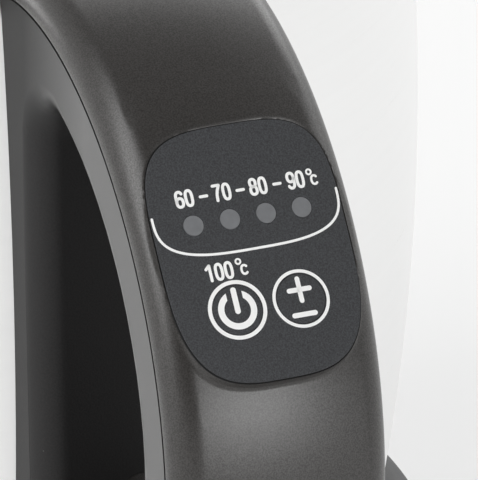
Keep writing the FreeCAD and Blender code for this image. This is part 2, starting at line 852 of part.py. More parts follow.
def root_profile():
    """Section of the root: a wall that flares out towards the body like a trumpet."""
    across = Vector(-spout_direction.z, 0, spout_direction.x)
    bend_radius = n.neck_radius + n.root_bend

    def spot(back, inset):
        radius = bend_radius - math.sqrt((n.root_bend + inset) ** 2 - back ** 2)
        return neck_start - spout_direction * back + across * radius

    reach, wall = root_reach.value, n.spout_wall
    edges = [
        Part.Arc(spot(0, 0), spot(reach / 2, 0), spot(reach, 0)).toShape(),
        Part.LineSegment(spot(reach, 0), spot(reach, wall)).toShape(),
        Part.Arc(spot(reach, wall), spot(reach / 2, wall), spot(0, wall)).toShape(),
        Part.LineSegment(spot(0, wall), spot(0, 0)).toShape(),
    ]
    return Part.Face(Part.Wire(edges))


root_trumpet = root_profile().revolve(neck_start, spout_direction, 360)
feature("spout_root", root_trumpet.cut(body_envelope(0)))


def heading(angle):
    turn = math.radians(angle)
    return Vector(math.cos(turn), 0, math.sin(turn))


def left_of(angle):
    """Direction square to a heading, on its upper side."""
    return heading(angle + 90)


def spout_path():
    """Centre line of the neck: a bend up, a straight, the crook and the straight tip."""
    first_centre = neck_start + left_of(n.spout_angle) * n.neck_bend
    middle_angle = (n.spout_angle + n.neck_angle) / 2
    first_middle = first_centre - left_of(middle_angle) * n.neck_bend
    first_end = first_centre - left_of(n.neck_angle) * n.neck_bend
    second_start = first_end + heading(n.neck_angle) * n.neck_straight
    second_centre = second_start - left_of(n.neck_angle) * n.crook_bend
    crook_angle = (n.neck_angle - n.tip_dip) / 2
    second_middle = second_centre + left_of(crook_angle) * n.crook_bend
    second_end = second_centre + left_of(-n.tip_dip) * n.crook_bend
    tip = second_end + heading(-n.tip_dip) * n.tip_straight
    return Part.Wire([
        Part.Arc(neck_start, first_middle, first_end).toShape(),
        Part.LineSegment(first_end, second_start).toShape(),
        Part.Arc(second_start, second_middle, second_end).toShape(),
        Part.LineSegment(second_end, tip).toShape(),
    ]), tip


def tapered_tube(path, tip, inset):
    """A tube along the neck that narrows evenly from the root to the tip."""
    first = Part.Wire(Part.makeCircle(n.neck_radius - inset, neck_start, heading(n.spout_angle)))
    last = Part.Wire(Part.makeCircle(n.tip_radius - inset, tip, heading(-n.tip_dip)))
    return path.makePipeShell([first, last], True, False)


neck_path, spout_tip = spout_path()
neck_outside = tapered_tube(neck_path, spout_tip, 0)
feature("spout_neck", neck_outside.cut(tapered_tube(neck_path, spout_tip, n.spout_wall)))

# Handle: its side outline is four tangent pieces, kept at one depth below the outer face
half_width = n.handle_width / 2
spine_face = -n.body_radius - n.spine_depth
inside_body = -n.body_radius / 2
arch_centre = Vector(spine_face - n.arch_setback, 0, arch_height.value)
lower_centre = arch_centre + Vector(n.lower_radius - n.arch_radius, 0, 0)
heel_drop = (arch_height - cable_height + s.cable_depth).value - n.heel_radius
lower_sweep = math.degrees(math.asin(heel_drop / (n.lower_radius - n.heel_radius)))


def outward(angle):
    """Direction away from the grip at an angle above the straight back."""
    turn = math.radians(angle)
    return Vector(-math.cos(turn), 0, math.sin(turn))


heel_centre = lower_centre + outward(-lower_sweep) * (n.lower_radius - n.heel_radius)


def grip_point(angle, depth):
    """A point of the grip at an angle of the arch or of the lower bend, below the outer face."""
    if angle >= 0:
        return arch_centre + outward(angle) * (n.arch_radius - depth)
    return lower_centre + outward(angle) * (n.lower_radius - depth)


def bend(centre, radius, first, last):
    """An arc about a centre between two angles above the straight back."""
    points = [centre + outward(angle) * radius for angle in (first, (first + last) / 2, last)]
    return Part.Arc(*points).toShape()


def handle_slab(depth, closing, half):
    """The solid inside the handle's side outline at a depth, closed by an upright plane."""
    radius = n.arch_radius - depth
    top_angle = 180 - math.degrees(math.acos((closing - arch_centre.x) / radius))
    heel = n.heel_radius - depth
    heel_end = heel_centre + outward(-90) * heel
    low = Vector(closing, 0, heel_end.z)
    edges = [
        bend(arch_centre, radius, top_angle, 0),
        bend(lower_centre, n.lower_radius - depth, 0, -lower_sweep),
        bend(heel_centre, heel, -lower_sweep, -90),
        Part.LineSegment(heel_end, low).toShape(),
        Part.LineSegment(low, arch_centre + outward(top_angle) * radius).toShape(),
    ]
    face = Part.Face(Part.Wire(edges))
    face.translate(Vector(0, -half, 0))
    return face.extrude(Vector(0, half * 2, 0))


def loop_space():
    """The finger gap: the space inside the grip, rounded where it meets the spine."""
    space = handle_slab(n.grip_thickness, spine_face, half_width)
    corners = [
        edge for edge in space.Edges
        if edge.BoundBox.YLength > half_width and abs(edge.BoundBox.XMin - spine_face) < n.seam_gap
    ]
    return space.makeFillet(n.loop_round, corners)


def loop_edges(solid, space):
    """The edges on both sides of the handle that run round the finger gap."""
    room = space.BoundBox
    room.enlarge(n.seam_gap)
    return [
        edge for edge in solid.Edges
        if edge.BoundBox.YLength < n.seam_gap and room.isInside(edge.BoundBox)
    ]


envelope = body_envelope(n.saddle_gap)
cavity_half = half_width - n.grip_wall
cavity_end = -n.body_radius - n.spine_depth / 2


def behind(x):
    """A large block that holds everything further back than an upright plane."""
    reach = n.arch_radius * 4
    corner = Vector(x - reach, -reach / 2, arch_centre.z - reach / 2)
    return Part.makeBox(reach, reach, reach, corner)


def frame_cavity():
    """The channel in the frame, open towards the cover."""
    outer = handle_slab(n.cover_depth / 2, inside_body, cavity_half)
    inner = handle_slab(n.grip_thickness - n.frame_floor, cavity_end, cavity_half)
    return outer.cut(inner).common(behind(cavity_end))


screw_angles = (n.upper_screw_angle, -n.lower_screw_angle)
screw_head_depth = n.grip_thickness - n.cap_thickness - n.screw_head_height


def cover_screw_places():
    """Where each cover screw starts: the seat of its head, and the way it points."""
    return [(grip_point(angle, screw_head_depth), outward(angle)) for angle in screw_angles]


def frame_bosses():
    """Round bosses on the frame's floor that the cover's pillars stand on."""
    root = n.grip_thickness - n.frame_floor / 2
    return [
        rod(n.frame_boss_radius, grip_point(angle, root), grip_point(angle, n.handle_joint_depth))
        for angle in screw_angles
    ]


def cover_pillars():
    """Round pillars under the cover's roof that take the threads of the cover screws."""
    root = n.cover_roof / 2
    return [
        rod(n.cover_pillar_radius, grip_point(angle, n.handle_joint_depth), grip_point(angle, root))
        for angle in screw_angles
    ]


def screw_clearances():
    """Bores for the cover screws, with the recess of each head open to the finger gap."""
    tools = []
    for seat_point, direction in cover_screw_places():
        recess_end = seat_point - direction * n.grip_thickness
        tools.append(rod(n.screw_head_radius + n.screw_recess_gap, recess_end, seat_point))
        tools.append(rod(n.screw_radius, seat_point, seat_point + direction * n.screw_length))
    return tools


def screw_solid(seat_point, direction, head_radius, head_height, radius, length):
    head = rod(head_radius, seat_point - direction * head_height, seat_point)
    return head.fuse(rod(radius, seat_point, seat_point + direction * length))


feature("cover_screws", Part.makeCompound([
    screw_solid(
        point, direction, n.screw_head_radius, n.screw_head_height, n.screw_radius, n.screw_length
    )
    for point, direction in cover_screw_places()
]))

# Brackets between the spine and the shell, with their screws and caps
bracket_heights = [arch_centre.z + side * n.bracket_spread for side in (-1, 1)]
bracket_back = -n.body_radius - n.bracket_depth


def bracket_block(height, gap):
    depth = n.bracket_depth + n.body_radius / 2
    corner = Vector(bracket_back - gap, -n.bracket_width / 2 - gap, height - n.bracket_height / 2 - gap)
    return Part.makeBox(depth, n.bracket_width + gap * 2, n.bracket_height + gap * 2, corner)


head_seat = spine_face + n.cap_thickness + n.screw_head_height
toward_body = Vector(1, 0, 0)
bracket_screw_length = -n.body_radius - head_seat
bracket_seats = [Vector(head_seat, 0, height) for height in bracket_heights]
bracket_holes = [
    rod(n.screw_radius, seat, seat + toward_body * bracket_screw_length) for seat in bracket_seats
]
bare_body = body_envelope(0)
feature("handle_brackets", Part.makeCompound([
    bracket_block(height, 0).cut(bare_body).cut(hole)
    for height, hole in zip(bracket_heights, bracket_holes)
]))
feature("bracket_screws", Part.makeCompound([
    screw_solid(
        seat, toward_body,
        n.screw_head_radius, n.screw_head_height, n.screw_radius, bracket_screw_length,
    )
    for seat in bracket_seats
]))
cap_radius = n.screw_head_radius + n.screw_recess_gap
feature("screw_caps", Part.makeCompound([
    Part.makeCylinder(cap_radius, n.cap_thickness, Vector(spine_face, 0, height), toward_body)
    for height in bracket_heights
]))


def cable_path():
    """Centre line of the lead: down inside the arch, through the shell, down to the relay board."""
    radius = n.arch_radius - n.cable_depth
    board_back_depth = board_drop + n.board_thickness
    under_board = n.arch_radius - n.panel_sink - board_back_depth
    start_angle = n.panel_tilt - math.degrees(math.acos(under_board / (radius + n.cable_radius)))
    heel = n.heel_radius - n.cable_depth
    heel_end = heel_centre + outward(-90) * heel
    bend_start = Vector(-n.body_radius + n.cable_entry, 0, heel_end.z)
    bend_centre = bend_start - Vector(0, 0, n.cable_bend)
    half_turn = math.radians(45)
    bend_middle = bend_centre + Vector(math.sin(half_turn), 0, math.cos(half_turn)) * n.cable_bend
    bend_end = bend_centre + Vector(n.cable_bend, 0, 0)
    board_face = Vector(bend_end.x, 0, relay_low.value)
    path = Part.Wire([
        bend(arch_centre, radius, start_angle, 0),
        bend(lower_centre, n.lower_radius - n.cable_depth, 0, -lower_sweep),
        bend(heel_centre, heel, -lower_sweep, -90),
        Part.LineSegment(heel_end, bend_start).toShape(),
        Part.Arc(bend_start, bend_middle, bend_end).toShape(),
        Part.LineSegment(bend_end, board_face).toShape(),
    ])
    path.translate(Vector(0, n.cable_side, 0))
    start_point = grip_point(start_angle, n.cable_depth) + Vector(0, n.cable_side, 0)
    start_direction = Vector(0, 1, 0).cross(outward(start_angle))
    return path, start_point, start_direction


def swept_round(path, start, direction, radius):
    section = Part.Wire(Part.makeCircle(radius, start, direction))
    return path.makePipeShell([section], True, False)


# Panel frame: its origin is the middle of the lamp row, x to the right, y up, z out of the panel
panel_normal = outward(n.panel_tilt)
panel_right = Vector(0, -1, 0)
panel_up = panel_normal.cross(panel_right)
panel_origin = arch_centre + panel_normal * (n.arch_radius - n.panel_sink) + panel_up * n.lamp_rise
panel_place = FreeCAD.Placement(
    panel_origin, FreeCAD.Rotation(panel_right, panel_up, panel_normal, "ZXY")
)
key_depth_total = n.key_depth + n.key_flange_thickness
board_drop = key_depth_total + n.key_travel + n.switch_gap + n.switch_height


def on_panel(shape):
    """Moves a shape from the panel's own frame to its place on the handle."""
    moved = shape.copy()
    moved.Placement = panel_place.multiply(moved.Placement)
    return moved


def panel_outline(grow, height):
    """The panel's rounded outline, grown all round, at a height above its face."""
    half = n.panel_half_width + grow
    top = n.panel_top + grow
    bottom = -n.panel_bottom - grow
    top_round = n.panel_top_round + grow
    bottom_round = n.panel_bottom_round + grow
    slant = math.sqrt(0.5)

    def corner(side, end, radius, vertical):
        centre = Vector(side * (half - radius), end - vertical * radius, height)
        flank = centre + Vector(side * radius, 0, 0)
        middle = centre + Vector(side * radius * slant, vertical * radius * slant, 0)
        cap = centre + Vector(0, vertical * radius, 0)
        return flank, middle, cap

    top_right = corner(1, top, top_round, 1)
    top_left = corner(-1, top, top_round, 1)
    bottom_left = corner(-1, bottom, bottom_round, -1)
    bottom_right = corner(1, bottom, bottom_round, -1)
    edges = [
        Part.Arc(*top_right).toShape(),
        Part.LineSegment(top_right[2], top_left[2]).toShape(),
        Part.Arc(*reversed(top_left)).toShape(),
        Part.LineSegment(top_left[0], bottom_left[0]).toShape(),
        Part.Arc(*bottom_left).toShape(),
        Part.LineSegment(bottom_left[2], bottom_right[2]).toShape(),
        Part.Arc(*reversed(bottom_right)).toShape(),
        Part.LineSegment(bottom_right[0], top_right[0]).toShape(),
    ]
    return Part.Wire(edges)


def panel_prism(grow, low, high):
    return Part.Face(panel_outline(grow, low)).extrude(Vector(0, 0, high - low))


def under_crown(inset):
    """Everything below the panel's gently crowned face, set in by a thickness."""
    length = (n.panel_top + n.panel_bottom) * 2
    return Part.makeCylinder(
        n.panel_crown - inset, length, Vector(0, -length / 2, -n.panel_crown), Vector(0, 1, 0)
    )


def panel_rod(x, y, radius, low, high):
    return Part.makeCylinder(radius, high - low, Vector(x, y, low))


key_places = [(-n.key_spacing / 2, -n.key_drop), (n.key_spacing / 2, -n.key_drop)]
lamp_places = [((index - 1.5) * n.lamp_pitch, 0) for index in range(4)]
post_places = [(0, n.board_post_top), (0, -n.board_post_bottom)]
above_face = n.pad_depth
under_overlay = under_crown(n.overlay_thickness)
key_holes = [
    panel_rod(x, y, n.key_radius + n.key_gap, -n.arch_radius / 2, above_face) for x, y in key_places
]
lamp_holes = [
    panel_rod(x, y, n.lamp_radius + n.lamp_gap, -n.arch_radius / 2, above_face) for x, y in lamp_places
]

overlay = panel_prism(0, -n.pad_depth, above_face).common(under_crown(0)).cut(under_overlay)
feature("control_overlay", overlay.cut(key_holes + lamp_holes), panel_place)
feature("light_pipes", Part.makeCompound([
    panel_rod(x, y, n.lamp_radius, -n.lamp_length, above_face).common(under_crown(0))
    for x, y in lamp_places
]), panel_place)


def key(x, y):
    """A round key with the flange that keeps it under the cover."""
    cap = panel_rod(x, y, n.key_radius, -n.key_depth, above_face).common(under_crown(0))
    flange = panel_rod(x, y, n.key_radius + n.key_flange, -key_depth_total, -n.key_depth)
    return cap.fuse(flange)


feature("power_key", key(*key_places[0]), panel_place)
feature("temperature_key", key(*key_places[1]), panel_place)

board_under = -board_drop - n.board_thickness
board_holes = [
    panel_rod(x, y, n.board_screw_radius, board_under, -board_drop) for x, y in post_places
]
board_blank = Part.makeBox(
    n.board_half_width * 2, n.board_top + n.board_bottom, n.board_thickness,
    Vector(-n.board_half_width, -n.board_bottom, board_under),
)
feature("control_board", board_blank.cut(board_holes), panel_place)
feature("indicator_leds", Part.makeCompound([
    Part.makeBox(
        n.led_length, n.led_width, n.led_height,
        Vector(x - n.led_length / 2, y - n.led_width / 2, -board_drop),
    )
    for x, y in lamp_places
]), panel_place)
half_switch = n.switch_side / 2
feature("key_switches", Part.makeCompound([
    Part.makeBox(
        n.switch_side, n.switch_side, n.switch_height,
        Vector(x - half_switch, y - half_switch, -board_drop),
    )
    for x, y in key_places
]), panel_place)
feature("board_screws", Part.makeCompound([
    screw_solid(
        Vector(x, y, board_under), Vector(0, 0, 1),
        n.board_screw_head, n.screw_head_height, n.board_screw_radius, n.board_screw_length,
    )
    for x, y in post_places
]), panel_place)

# Inner shell of the handle
finger_gap = loop_space()
frame = handle_slab(n.cover_depth + n.seam_gap, inside_body, half_width).cut(finger_gap)
frame = frame.makeFillet(n.grip_round, loop_edges(frame, finger_gap))
frame = frame.cut(frame_cavity()).fuse(frame_bosses())
cable_route = cable_path()
bracket_recesses = [bracket_block(height, n.bracket_gap) for height in bracket_heights]
head_recesses = [
    rod(cap_radius, Vector(spine_face - n.cap_thickness, 0, height), Vector(head_seat, 0, height))
    for height in bracket_heights
]
cable_passage = swept_round(*cable_route, n.cable_radius + n.cable_gap)
frame_cuts = [envelope, cable_passage] + screw_clearances()
frame_cuts += bracket_recesses + head_recesses + bracket_holes
feature("handle_frame", frame.cut(frame_cuts).removeSplitter())
feature("handle_cable", swept_round(*cable_route, n.cable_radius))


# Outer shell of the handle
def cover_section(centre, radius, angle):
    """Section of the cover across the grip: a crowned back, round corners and an open inside."""
    crown, corner = n.grip_crown, n.grip_round
    corner_side = half_width - corner
    corner_depth = crown - math.sqrt((crown - corner) ** 2 - corner_side ** 2)
    share = crown / (crown - corner)
    shoulder_side = corner_side * share
    shoulder_depth = crown - (crown - corner_depth) * share
    half_turn = math.atan2(shoulder_side - corner_side, corner_depth - shoulder_depth)
    bisector = (half_turn + math.pi / 2) / 2
    corner_middle = (
        corner_side + corner * math.sin(bisector), corner_depth - corner * math.cos(bisector)
    )
    direction = outward(angle)

    def spot(side, depth):
        return centre + direction * (radius - depth) + Vector(0, side, 0)

    def line(first, last):
        return Part.LineSegment(spot(*first), spot(*last)).toShape()

    def arc(first, middle, last):
        return Part.Arc(spot(*first), spot(*middle), spot(*last)).toShape()

    def mirrored(point):
        return -point[0], point[1]

    low_out = (half_width, n.cover_depth)
    side_top = (half_width, corner_depth)
    shoulder_point = (shoulder_side, shoulder_depth)
    low_in = (cavity_half, n.cover_depth)
    roof = (cavity_half, n.cover_roof)
    edges = [
        line(low_out, side_top),
        arc(side_top, corner_middle, shoulder_point),
        arc(shoulder_point, (0, 0), mirrored(shoulder_point)),
        arc(mirrored(shoulder_point), mirrored(corner_middle), mirrored(side_top)),
        line(mirrored(side_top), mirrored(low_out)),
        line(mirrored(low_out), mirrored(low_in)),
        line(mirrored(low_in), mirrored(roof)),
        line(mirrored(roof), roof),
        line(roof, low_in),
        line(low_in, low_out),
    ]
    return Part.Face(Part.Wire(edges))


def cover_channel():
    """The cover's section carried round the arch, the lower bend, the heel and the lower leg."""
    across = Vector(0, 1, 0)
    top_angle = 180 - math.degrees(math.acos((inside_body - arch_centre.x) / n.arch_radius))
    arch = cover_section(arch_centre, n.arch_radius, 0).revolve(arch_centre, across, top_angle)
    lower_section = cover_section(lower_centre, n.lower_radius, 0)
    lower = lower_section.revolve(lower_centre, across, -lower_sweep)
    heel_section = cover_section(heel_centre, n.heel_radius, -lower_sweep)
    heel = heel_section.revolve(heel_centre, across, lower_sweep - 90)
    leg_section = cover_section(heel_centre, n.heel_radius, -90)
    leg = leg_section.extrude(Vector(inside_body - heel_centre.x, 0, 0))
    return arch.fuse([lower, heel, leg]).removeSplitter()


def panel_pad():
    """The raised seat of the panel, with sloping sides, inside the cover's width and depth."""
    lowest = -n.pad_depth
    foot_margin = n.pad_margin + n.pad_slope * n.pad_depth
    outlines = [panel_outline(n.pad_margin, 0), panel_outline(foot_margin, lowest)]
    sides = Part.makeLoft(outlines, True, True)
    pad = on_panel(sides.common(under_overlay))
    within = handle_slab(-n.grip_round, inside_body, half_width - n.seam_gap)
    return pad.common(within).cut(handle_slab(n.cover_depth, inside_body, half_width))


def board_posts():
    return [
        on_panel(panel_rod(x, y, n.board_post_radius, -board_drop, -n.overlay_thickness * 2))
        for x, y in post_places
    ]


def cover_cuts():
    """What is taken out of the cover: the panel's seat, keys, lamps and screw threads."""
    recess = panel_prism(n.overlay_gap, -n.pad_depth, n.arch_radius / 2).cut(under_overlay)
    well_radius = n.key_radius + n.key_flange + n.key_well_gap
    well_top = -n.key_depth + n.key_well_gap
    wells = [panel_rod(x, y, well_radius, -n.arch_radius / 2, well_top) for x, y in key_places]
    threads = [
        panel_rod(x, y, n.board_screw_radius, -board_drop, -board_drop + n.board_screw_length)
        for x, y in post_places
    ]
    return [on_panel(item) for item in [recess] + key_holes + wells + lamp_holes + threads]


cover = cover_channel().fuse([panel_pad()] + board_posts() + cover_pillars())
cover_threads = screw_clearances()[1::2]
feature("handle_cover", cover.cut(cover_cuts() + cover_threads + [envelope]).removeSplitter())

# Every object has to be sound before anything is written
doc.recompute()
for item in doc.Objects:
    faults = [state for state in item.State if state in ("Invalid", "Error")]
    if faults:
        raise RuntimeError(f"{item.Name} is {faults}")
for item in nodes:
    if item.Shape.isNull() or not item.Shape.isValid():
        raise RuntimeError(f"{item.Label} has no valid shape")

os.makedirs("parts", exist_ok=True)
for item in nodes:
    item.Shape.exportStep(f"parts/{item.Label}.step")
    bounds = item.Shape.BoundBox
    print(
        f"{item.Label}: {len(item.Shape.Solids)} solids, {item.Shape.Volume:.1f} mm3,",
        f"X {bounds.XMin:.1f} to {bounds.XMax:.1f}, Z {bounds.ZMin:.1f} to {bounds.ZMax:.1f}",
    )
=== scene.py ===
import json
import math

import bmesh
import bpy
from mathutils import Matrix, Vector


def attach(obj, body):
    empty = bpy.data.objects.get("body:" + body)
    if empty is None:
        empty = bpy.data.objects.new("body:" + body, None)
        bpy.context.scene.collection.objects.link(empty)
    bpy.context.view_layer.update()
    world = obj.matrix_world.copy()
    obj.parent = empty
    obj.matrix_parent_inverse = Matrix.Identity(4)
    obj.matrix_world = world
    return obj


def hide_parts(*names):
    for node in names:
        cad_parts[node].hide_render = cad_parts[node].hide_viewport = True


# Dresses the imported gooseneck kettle: smooth shells, the printed panel, finishes, light and camera.
# Lengths are in millimetres and become metres when a mesh is made; lights and camera are in metres.
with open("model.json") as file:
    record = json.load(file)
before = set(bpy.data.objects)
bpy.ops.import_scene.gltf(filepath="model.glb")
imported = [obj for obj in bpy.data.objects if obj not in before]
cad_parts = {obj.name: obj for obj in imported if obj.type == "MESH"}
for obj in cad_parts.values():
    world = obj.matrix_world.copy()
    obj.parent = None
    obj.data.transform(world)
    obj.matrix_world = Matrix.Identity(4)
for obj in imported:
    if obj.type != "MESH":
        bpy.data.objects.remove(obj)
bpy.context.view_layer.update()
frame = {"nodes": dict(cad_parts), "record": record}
cad_nodes = frame["nodes"]
body_of = {
    node: body
    for body, members in frame["record"]["behaviour"]["bodies"].items()
    for node in members
}
MM = 0.001
scene = bpy.context.scene


# Finishes
class Tone:
    """A value that changes over a surface; sums and products of it add Math nodes."""

    def __init__(self, tree, socket):
        self.tree = tree
        self.socket = socket

    def __add__(self, other):
        return self.tree.math("ADD", self, other)

    def __sub__(self, other):
        return self.tree.math("SUBTRACT", self, other)

    def __rsub__(self, other):
        return self.tree.math("SUBTRACT", other, self)

    def __mul__(self, other):
        return self.tree.math("MULTIPLY", self, other)


class Nodes:
    """Adds nodes to a tree, each with its settings and the values or links of its sockets."""

    def __init__(self, tree):
        self.tree = tree

    def node(self, kind, settings=None, sockets=None, output=0):
        made = self.tree.nodes.new(kind)
        for name, value in (settings or {}).items():
            if name == "stops":
                self.set_stops(made.color_ramp, value)
            else:
                setattr(made, name, value)
        for name, value in (sockets or {}).items():
            self.join(made.inputs[name], value)
        return Tone(self, made.outputs[output])

    def set_stops(self, ramp, stops):
        while len(ramp.elements) < len(stops):
            ramp.elements.new(1.0)
        for element, (position, level) in zip(ramp.elements, stops):
            element.position = position
            element.color = (level, level, level, 1)

    def join(self, socket, value):
        if isinstance(value, Tone):
            self.tree.links.new(value.socket, socket)
        else:
            socket.default_value = value

    def math(self, operation, first, second):
        return self.node("ShaderNodeMath", {"operation": operation}, {0: first, 1: second})

    def ramp(self, value, *stops):
        return self.node("ShaderNodeValToRGB", {"stops": stops}, {"Fac": value})

    def mix(self, share, first, second):
        colours = [colour if isinstance(colour, Tone) else (*colour, 1) for colour in (first, second)]
        return self.node(
            "ShaderNodeMix", {"data_type": "RGBA"}, {0: share, 6: colours[0], 7: colours[1]}, output=2
        )


class Finish(Nodes):
    """One procedural material."""

    def __init__(self, name, **constants):
        self.material = bpy.data.materials.new(name)
        self.material.use_nodes = True
        super().__init__(self.material.node_tree)
        self.shader = self.tree.nodes["Principled BSDF"]
        self.place = self.node("ShaderNodeTexCoord", output="Object")
        self.give(**constants)

    def give(self, **values):
        for name, value in values.items():
            socket = self.shader.inputs[name.replace("_", " ").title().replace("Ior", "IOR")]
            self.join(socket, value)

    def spot(self):
        """The x, y and z of the place on the surface."""
        parts = self.node("ShaderNodeSeparateXYZ", sockets={"Vector": self.place})
        return [Tone(self, socket) for socket in parts.socket.node.outputs]

    def noise(self, size, detail=2.0, stretch=(1, 1, 1), vector=None):
        """Soft random pattern whose features are about a size in millimetres."""
        scale = [factor / (size * MM) for factor in stretch]
        spread = self.node("ShaderNodeMapping", sockets={"Vector": vector or self.place, "Scale": scale})
        return self.node("ShaderNodeTexNoise", sockets={"Vector": spread, "Scale": 1.0, "Detail": detail})

    def specks(self, spacing, share):
        """Small round dots, one here and there."""
        scale = 1 / (spacing * MM)
        cells = self.node("ShaderNodeTexVoronoi", sockets={"Vector": self.place, "Scale": scale})
        return self.math("LESS_THAN", cells, share)

    def rise(self, length, first, last):
        """Goes evenly from zero to one between two lengths in millimetres."""
        return self.node("ShaderNodeMapRange", sockets={0: length, 1: first * MM, 2: last * MM})

    def bump(self, height, depth):
        sockets = {"Strength": 1.0, "Distance": depth * MM, "Height": height}
        return self.node("ShaderNodeBump", sockets=sockets)

    def worn(self, colour, roughness, grain, swing, relief, shades, slow=None):
        """Two shades mixed by a slow pattern, and a gloss and relief that follow a grain."""
        first, second = (shaded(colour, shade) for shade in shades)
        self.give(
            base_color=self.mix(slow or grain, first, second),
            roughness=(grain - 0.5) * swing + roughness,
        )
        if relief:
            self.give(normal=self.bump(grain, relief))
        return self


def shaded(colour, factor):
    return tuple(min(channel * factor, 1.0) for channel in colour)


def moulded_plastic(
    name, colour, roughness, grain=0.28, relief=0.02, contrast=1.5, flecks=0.0, **constants
):
    """Moulded plastic with the fine grain of its tool, slow changes of tone and a few specks of dust."""
    finish = Finish(name, **constants)
    fine = finish.noise(grain, 3.0)
    salt = finish.ramp(fine, (0.35, 0.0), (0.65, 1.0))
    cloudy = finish.noise(14.0)
    tone = finish.mix(cloudy, shaded(colour, 0.86), shaded(colour, 1.14))
    tone = finish.mix(salt, tone, shaded(colour, contrast))
    tone = finish.mix(finish.specks(9.0, 0.011), tone, shaded(colour, 6.0))
    finish.give(
        base_color=tone,
        roughness=(fine - 0.5) * 0.15 + roughness,
        normal=finish.bump(fine, relief),
    )
    if flecks:
        finish.give(coat_weight=salt * flecks)
    return finish


def brushed_steel(name, colour, roughness):
    """Steel brushed round the upright axis: long fine lines, with slow changes of tone."""
    finish = Finish(name, metallic=1.0)
    x, y, z = finish.spot()
    radius = finish.math("POWER", x * x + y * y, 0.5)
    turn = finish.math("ARCTAN2", y, x)
    along = finish.node("ShaderNodeCombineXYZ", sockets={0: turn * 0.03, 1: radius + z, 2: radius - z})
    lines = finish.noise(0.16, stretch=(0.02, 1, 1), vector=along)
    broad = finish.noise(2.2, stretch=(0.03, 1, 1), vector=along)
    gloss = (broad - 0.5) * 0.02 + roughness
    return finish.worn(colour, gloss, lines, 0.1, 0.001, (0.985, 1.01), broad)


def drawn_steel(name, colour, roughness):
    """Polished tube steel with faint marks of drawing."""
    finish = Finish(name, metallic=1.0)
    marks = finish.noise(0.9, 3.0, (1, 1, 0.12))
    cloudy = finish.noise(9.0)
    gloss = (cloudy - 0.5) * 0.06 + roughness
    return finish.worn(colour, gloss, marks, 0.12, 0.002, (0.93, 1.05), cloudy)


def soft_rubber(name, colour, roughness=0.75):
    finish = Finish(name)
    bloom = finish.noise(6.0)
    return finish.worn(colour, roughness, finish.noise(0.4, 3.0), 0.15, 0.02, (0.85, 1.25), bloom)


def printed_ink(name, colour):
    """Screen-printed ink: a little uneven, with the mesh just visible in its gloss."""
    finish = Finish(name)
    return finish.worn(colour, 0.5, finish.noise(0.35, 3.0), 0.2, 0.004, (0.93, 1.0))


def lamp_window(name, colour):
    """Unlit translucent window with a hazy middle."""
    finish = Finish(name, coat_roughness=0.25)
    haze = finish.noise(0.9)
    finish.give(coat_weight=haze * 0.2)
    return finish.worn(colour, 0.4, haze, 0.1, 0, (0.88, 1.12))


def circuit_board(name):
    """Green solder mask over copper tracks."""
    finish = Finish(name)
    bricks = {"Vector": finish.place, "Scale": 160.0, "Mortar Size": 0.012}
    cells = finish.node("ShaderNodeTexBrick", sockets=bricks, output="Fac")
    finish.give(
        base_color=finish.mix(cells, (0.01, 0.11, 0.04), (0.03, 0.2, 0.07)),
        roughness=finish.noise(1.2) * 0.15 + 0.35,
    )
    return finish


def plain_metal(name, colour, roughness, grain=0.5):
    finish = Finish(name, metallic=1.0)
    return finish.worn(colour, roughness, finish.noise(grain, 3.0), 0.2, 0.004, (0.85, 1.08))


FLANK_FROM = (12.0, 15.0)
GRIP_FROM = (78.0, 104.0)


def flank_polish(finish):
    """Rises to full on the flanks of the grip, away from the spine, where hands rub it to a shine."""
    x, y = finish.spot()[:2]
    flank = finish.rise(finish.math("ABSOLUTE", y, 0.0), *FLANK_FROM)
    return flank * finish.rise(0.0 - x, *GRIP_FROM)


handle_black = moulded_plastic(
    "handle_plastic", (0.02, 0.0182, 0.0168), 0.37,
    grain=0.22, relief=0.012, flecks=0.55, coat_roughness=0.36,
)
frame_black = moulded_plastic("handle_frame_plastic", (0.014, 0.0135, 0.0136), 0.5, coat_roughness=0.3)
frame_black.give(specular_ior_level=0.25, coat_weight=flank_polish(frame_black))
base_black = moulded_plastic("base_plastic", (0.026, 0.026, 0.027), 0.5, grain=0.4)
film_grey = moulded_plastic("panel_film", (0.021, 0.022, 0.024), 0.66, grain=0.22, contrast=2.4)
# Near-black adhesive layer under the film: a real layer, but its colour is a painted shadow line along
# the film's edge.
adhesive_shadow_black = soft_rubber("panel_adhesive", (0.004, 0.004, 0.004), 0.9)
white_ink = printed_ink("white_ink", (0.95, 0.95, 0.94))
window_grey = lamp_window("lamp_window", (0.172, 0.177, 0.185))
shell_steel = brushed_steel("brushed_steel", (0.95, 0.95, 0.945), 0.3)
tube_steel = drawn_steel("spout_steel", (0.8, 0.8, 0.79), 0.24)
screw_steel = plain_metal("screw_steel", (0.62, 0.62, 0.6), 0.32)
contact_brass = plain_metal("contact_brass", (0.72, 0.55, 0.26), 0.3)
plate_aluminium = plain_metal("spreader_aluminium", (0.68, 0.68, 0.68), 0.45, grain=0.8)
element_steel = plain_metal("element_steel", (0.4, 0.39, 0.37), 0.5)
foot_rubber = soft_rubber("foot_rubber", (0.035, 0.035, 0.036))
seal_silicone = soft_rubber("seal_silicone", (0.5, 0.5, 0.48), 0.5)
cable_rubber = soft_rubber("cable_jacket", (0.2, 0.2, 0.2), 0.6)
board_green = circuit_board("circuit_board")
component_black = moulded_plastic("component_plastic", (0.04, 0.04, 0.045), 0.5)


# Making and settling pieces
MERGE = 0.0005
COPY_MERGE = 0.001
COPY_SHARP = 30.0
FLAT_WITHIN = 1.0
ON_AXIS = 1e-6
NEARLY_ALONG = 0.9


def linked(name, data):
    item = bpy.data.objects.new(name, data)
    scene.collection.objects.link(item)
    return item


def placed(name, mesh):
    """Turns a bmesh in metres into an object."""
    data = bpy.data.meshes.new(name)
    mesh.to_mesh(data)
    mesh.free()
    return linked(name, data)


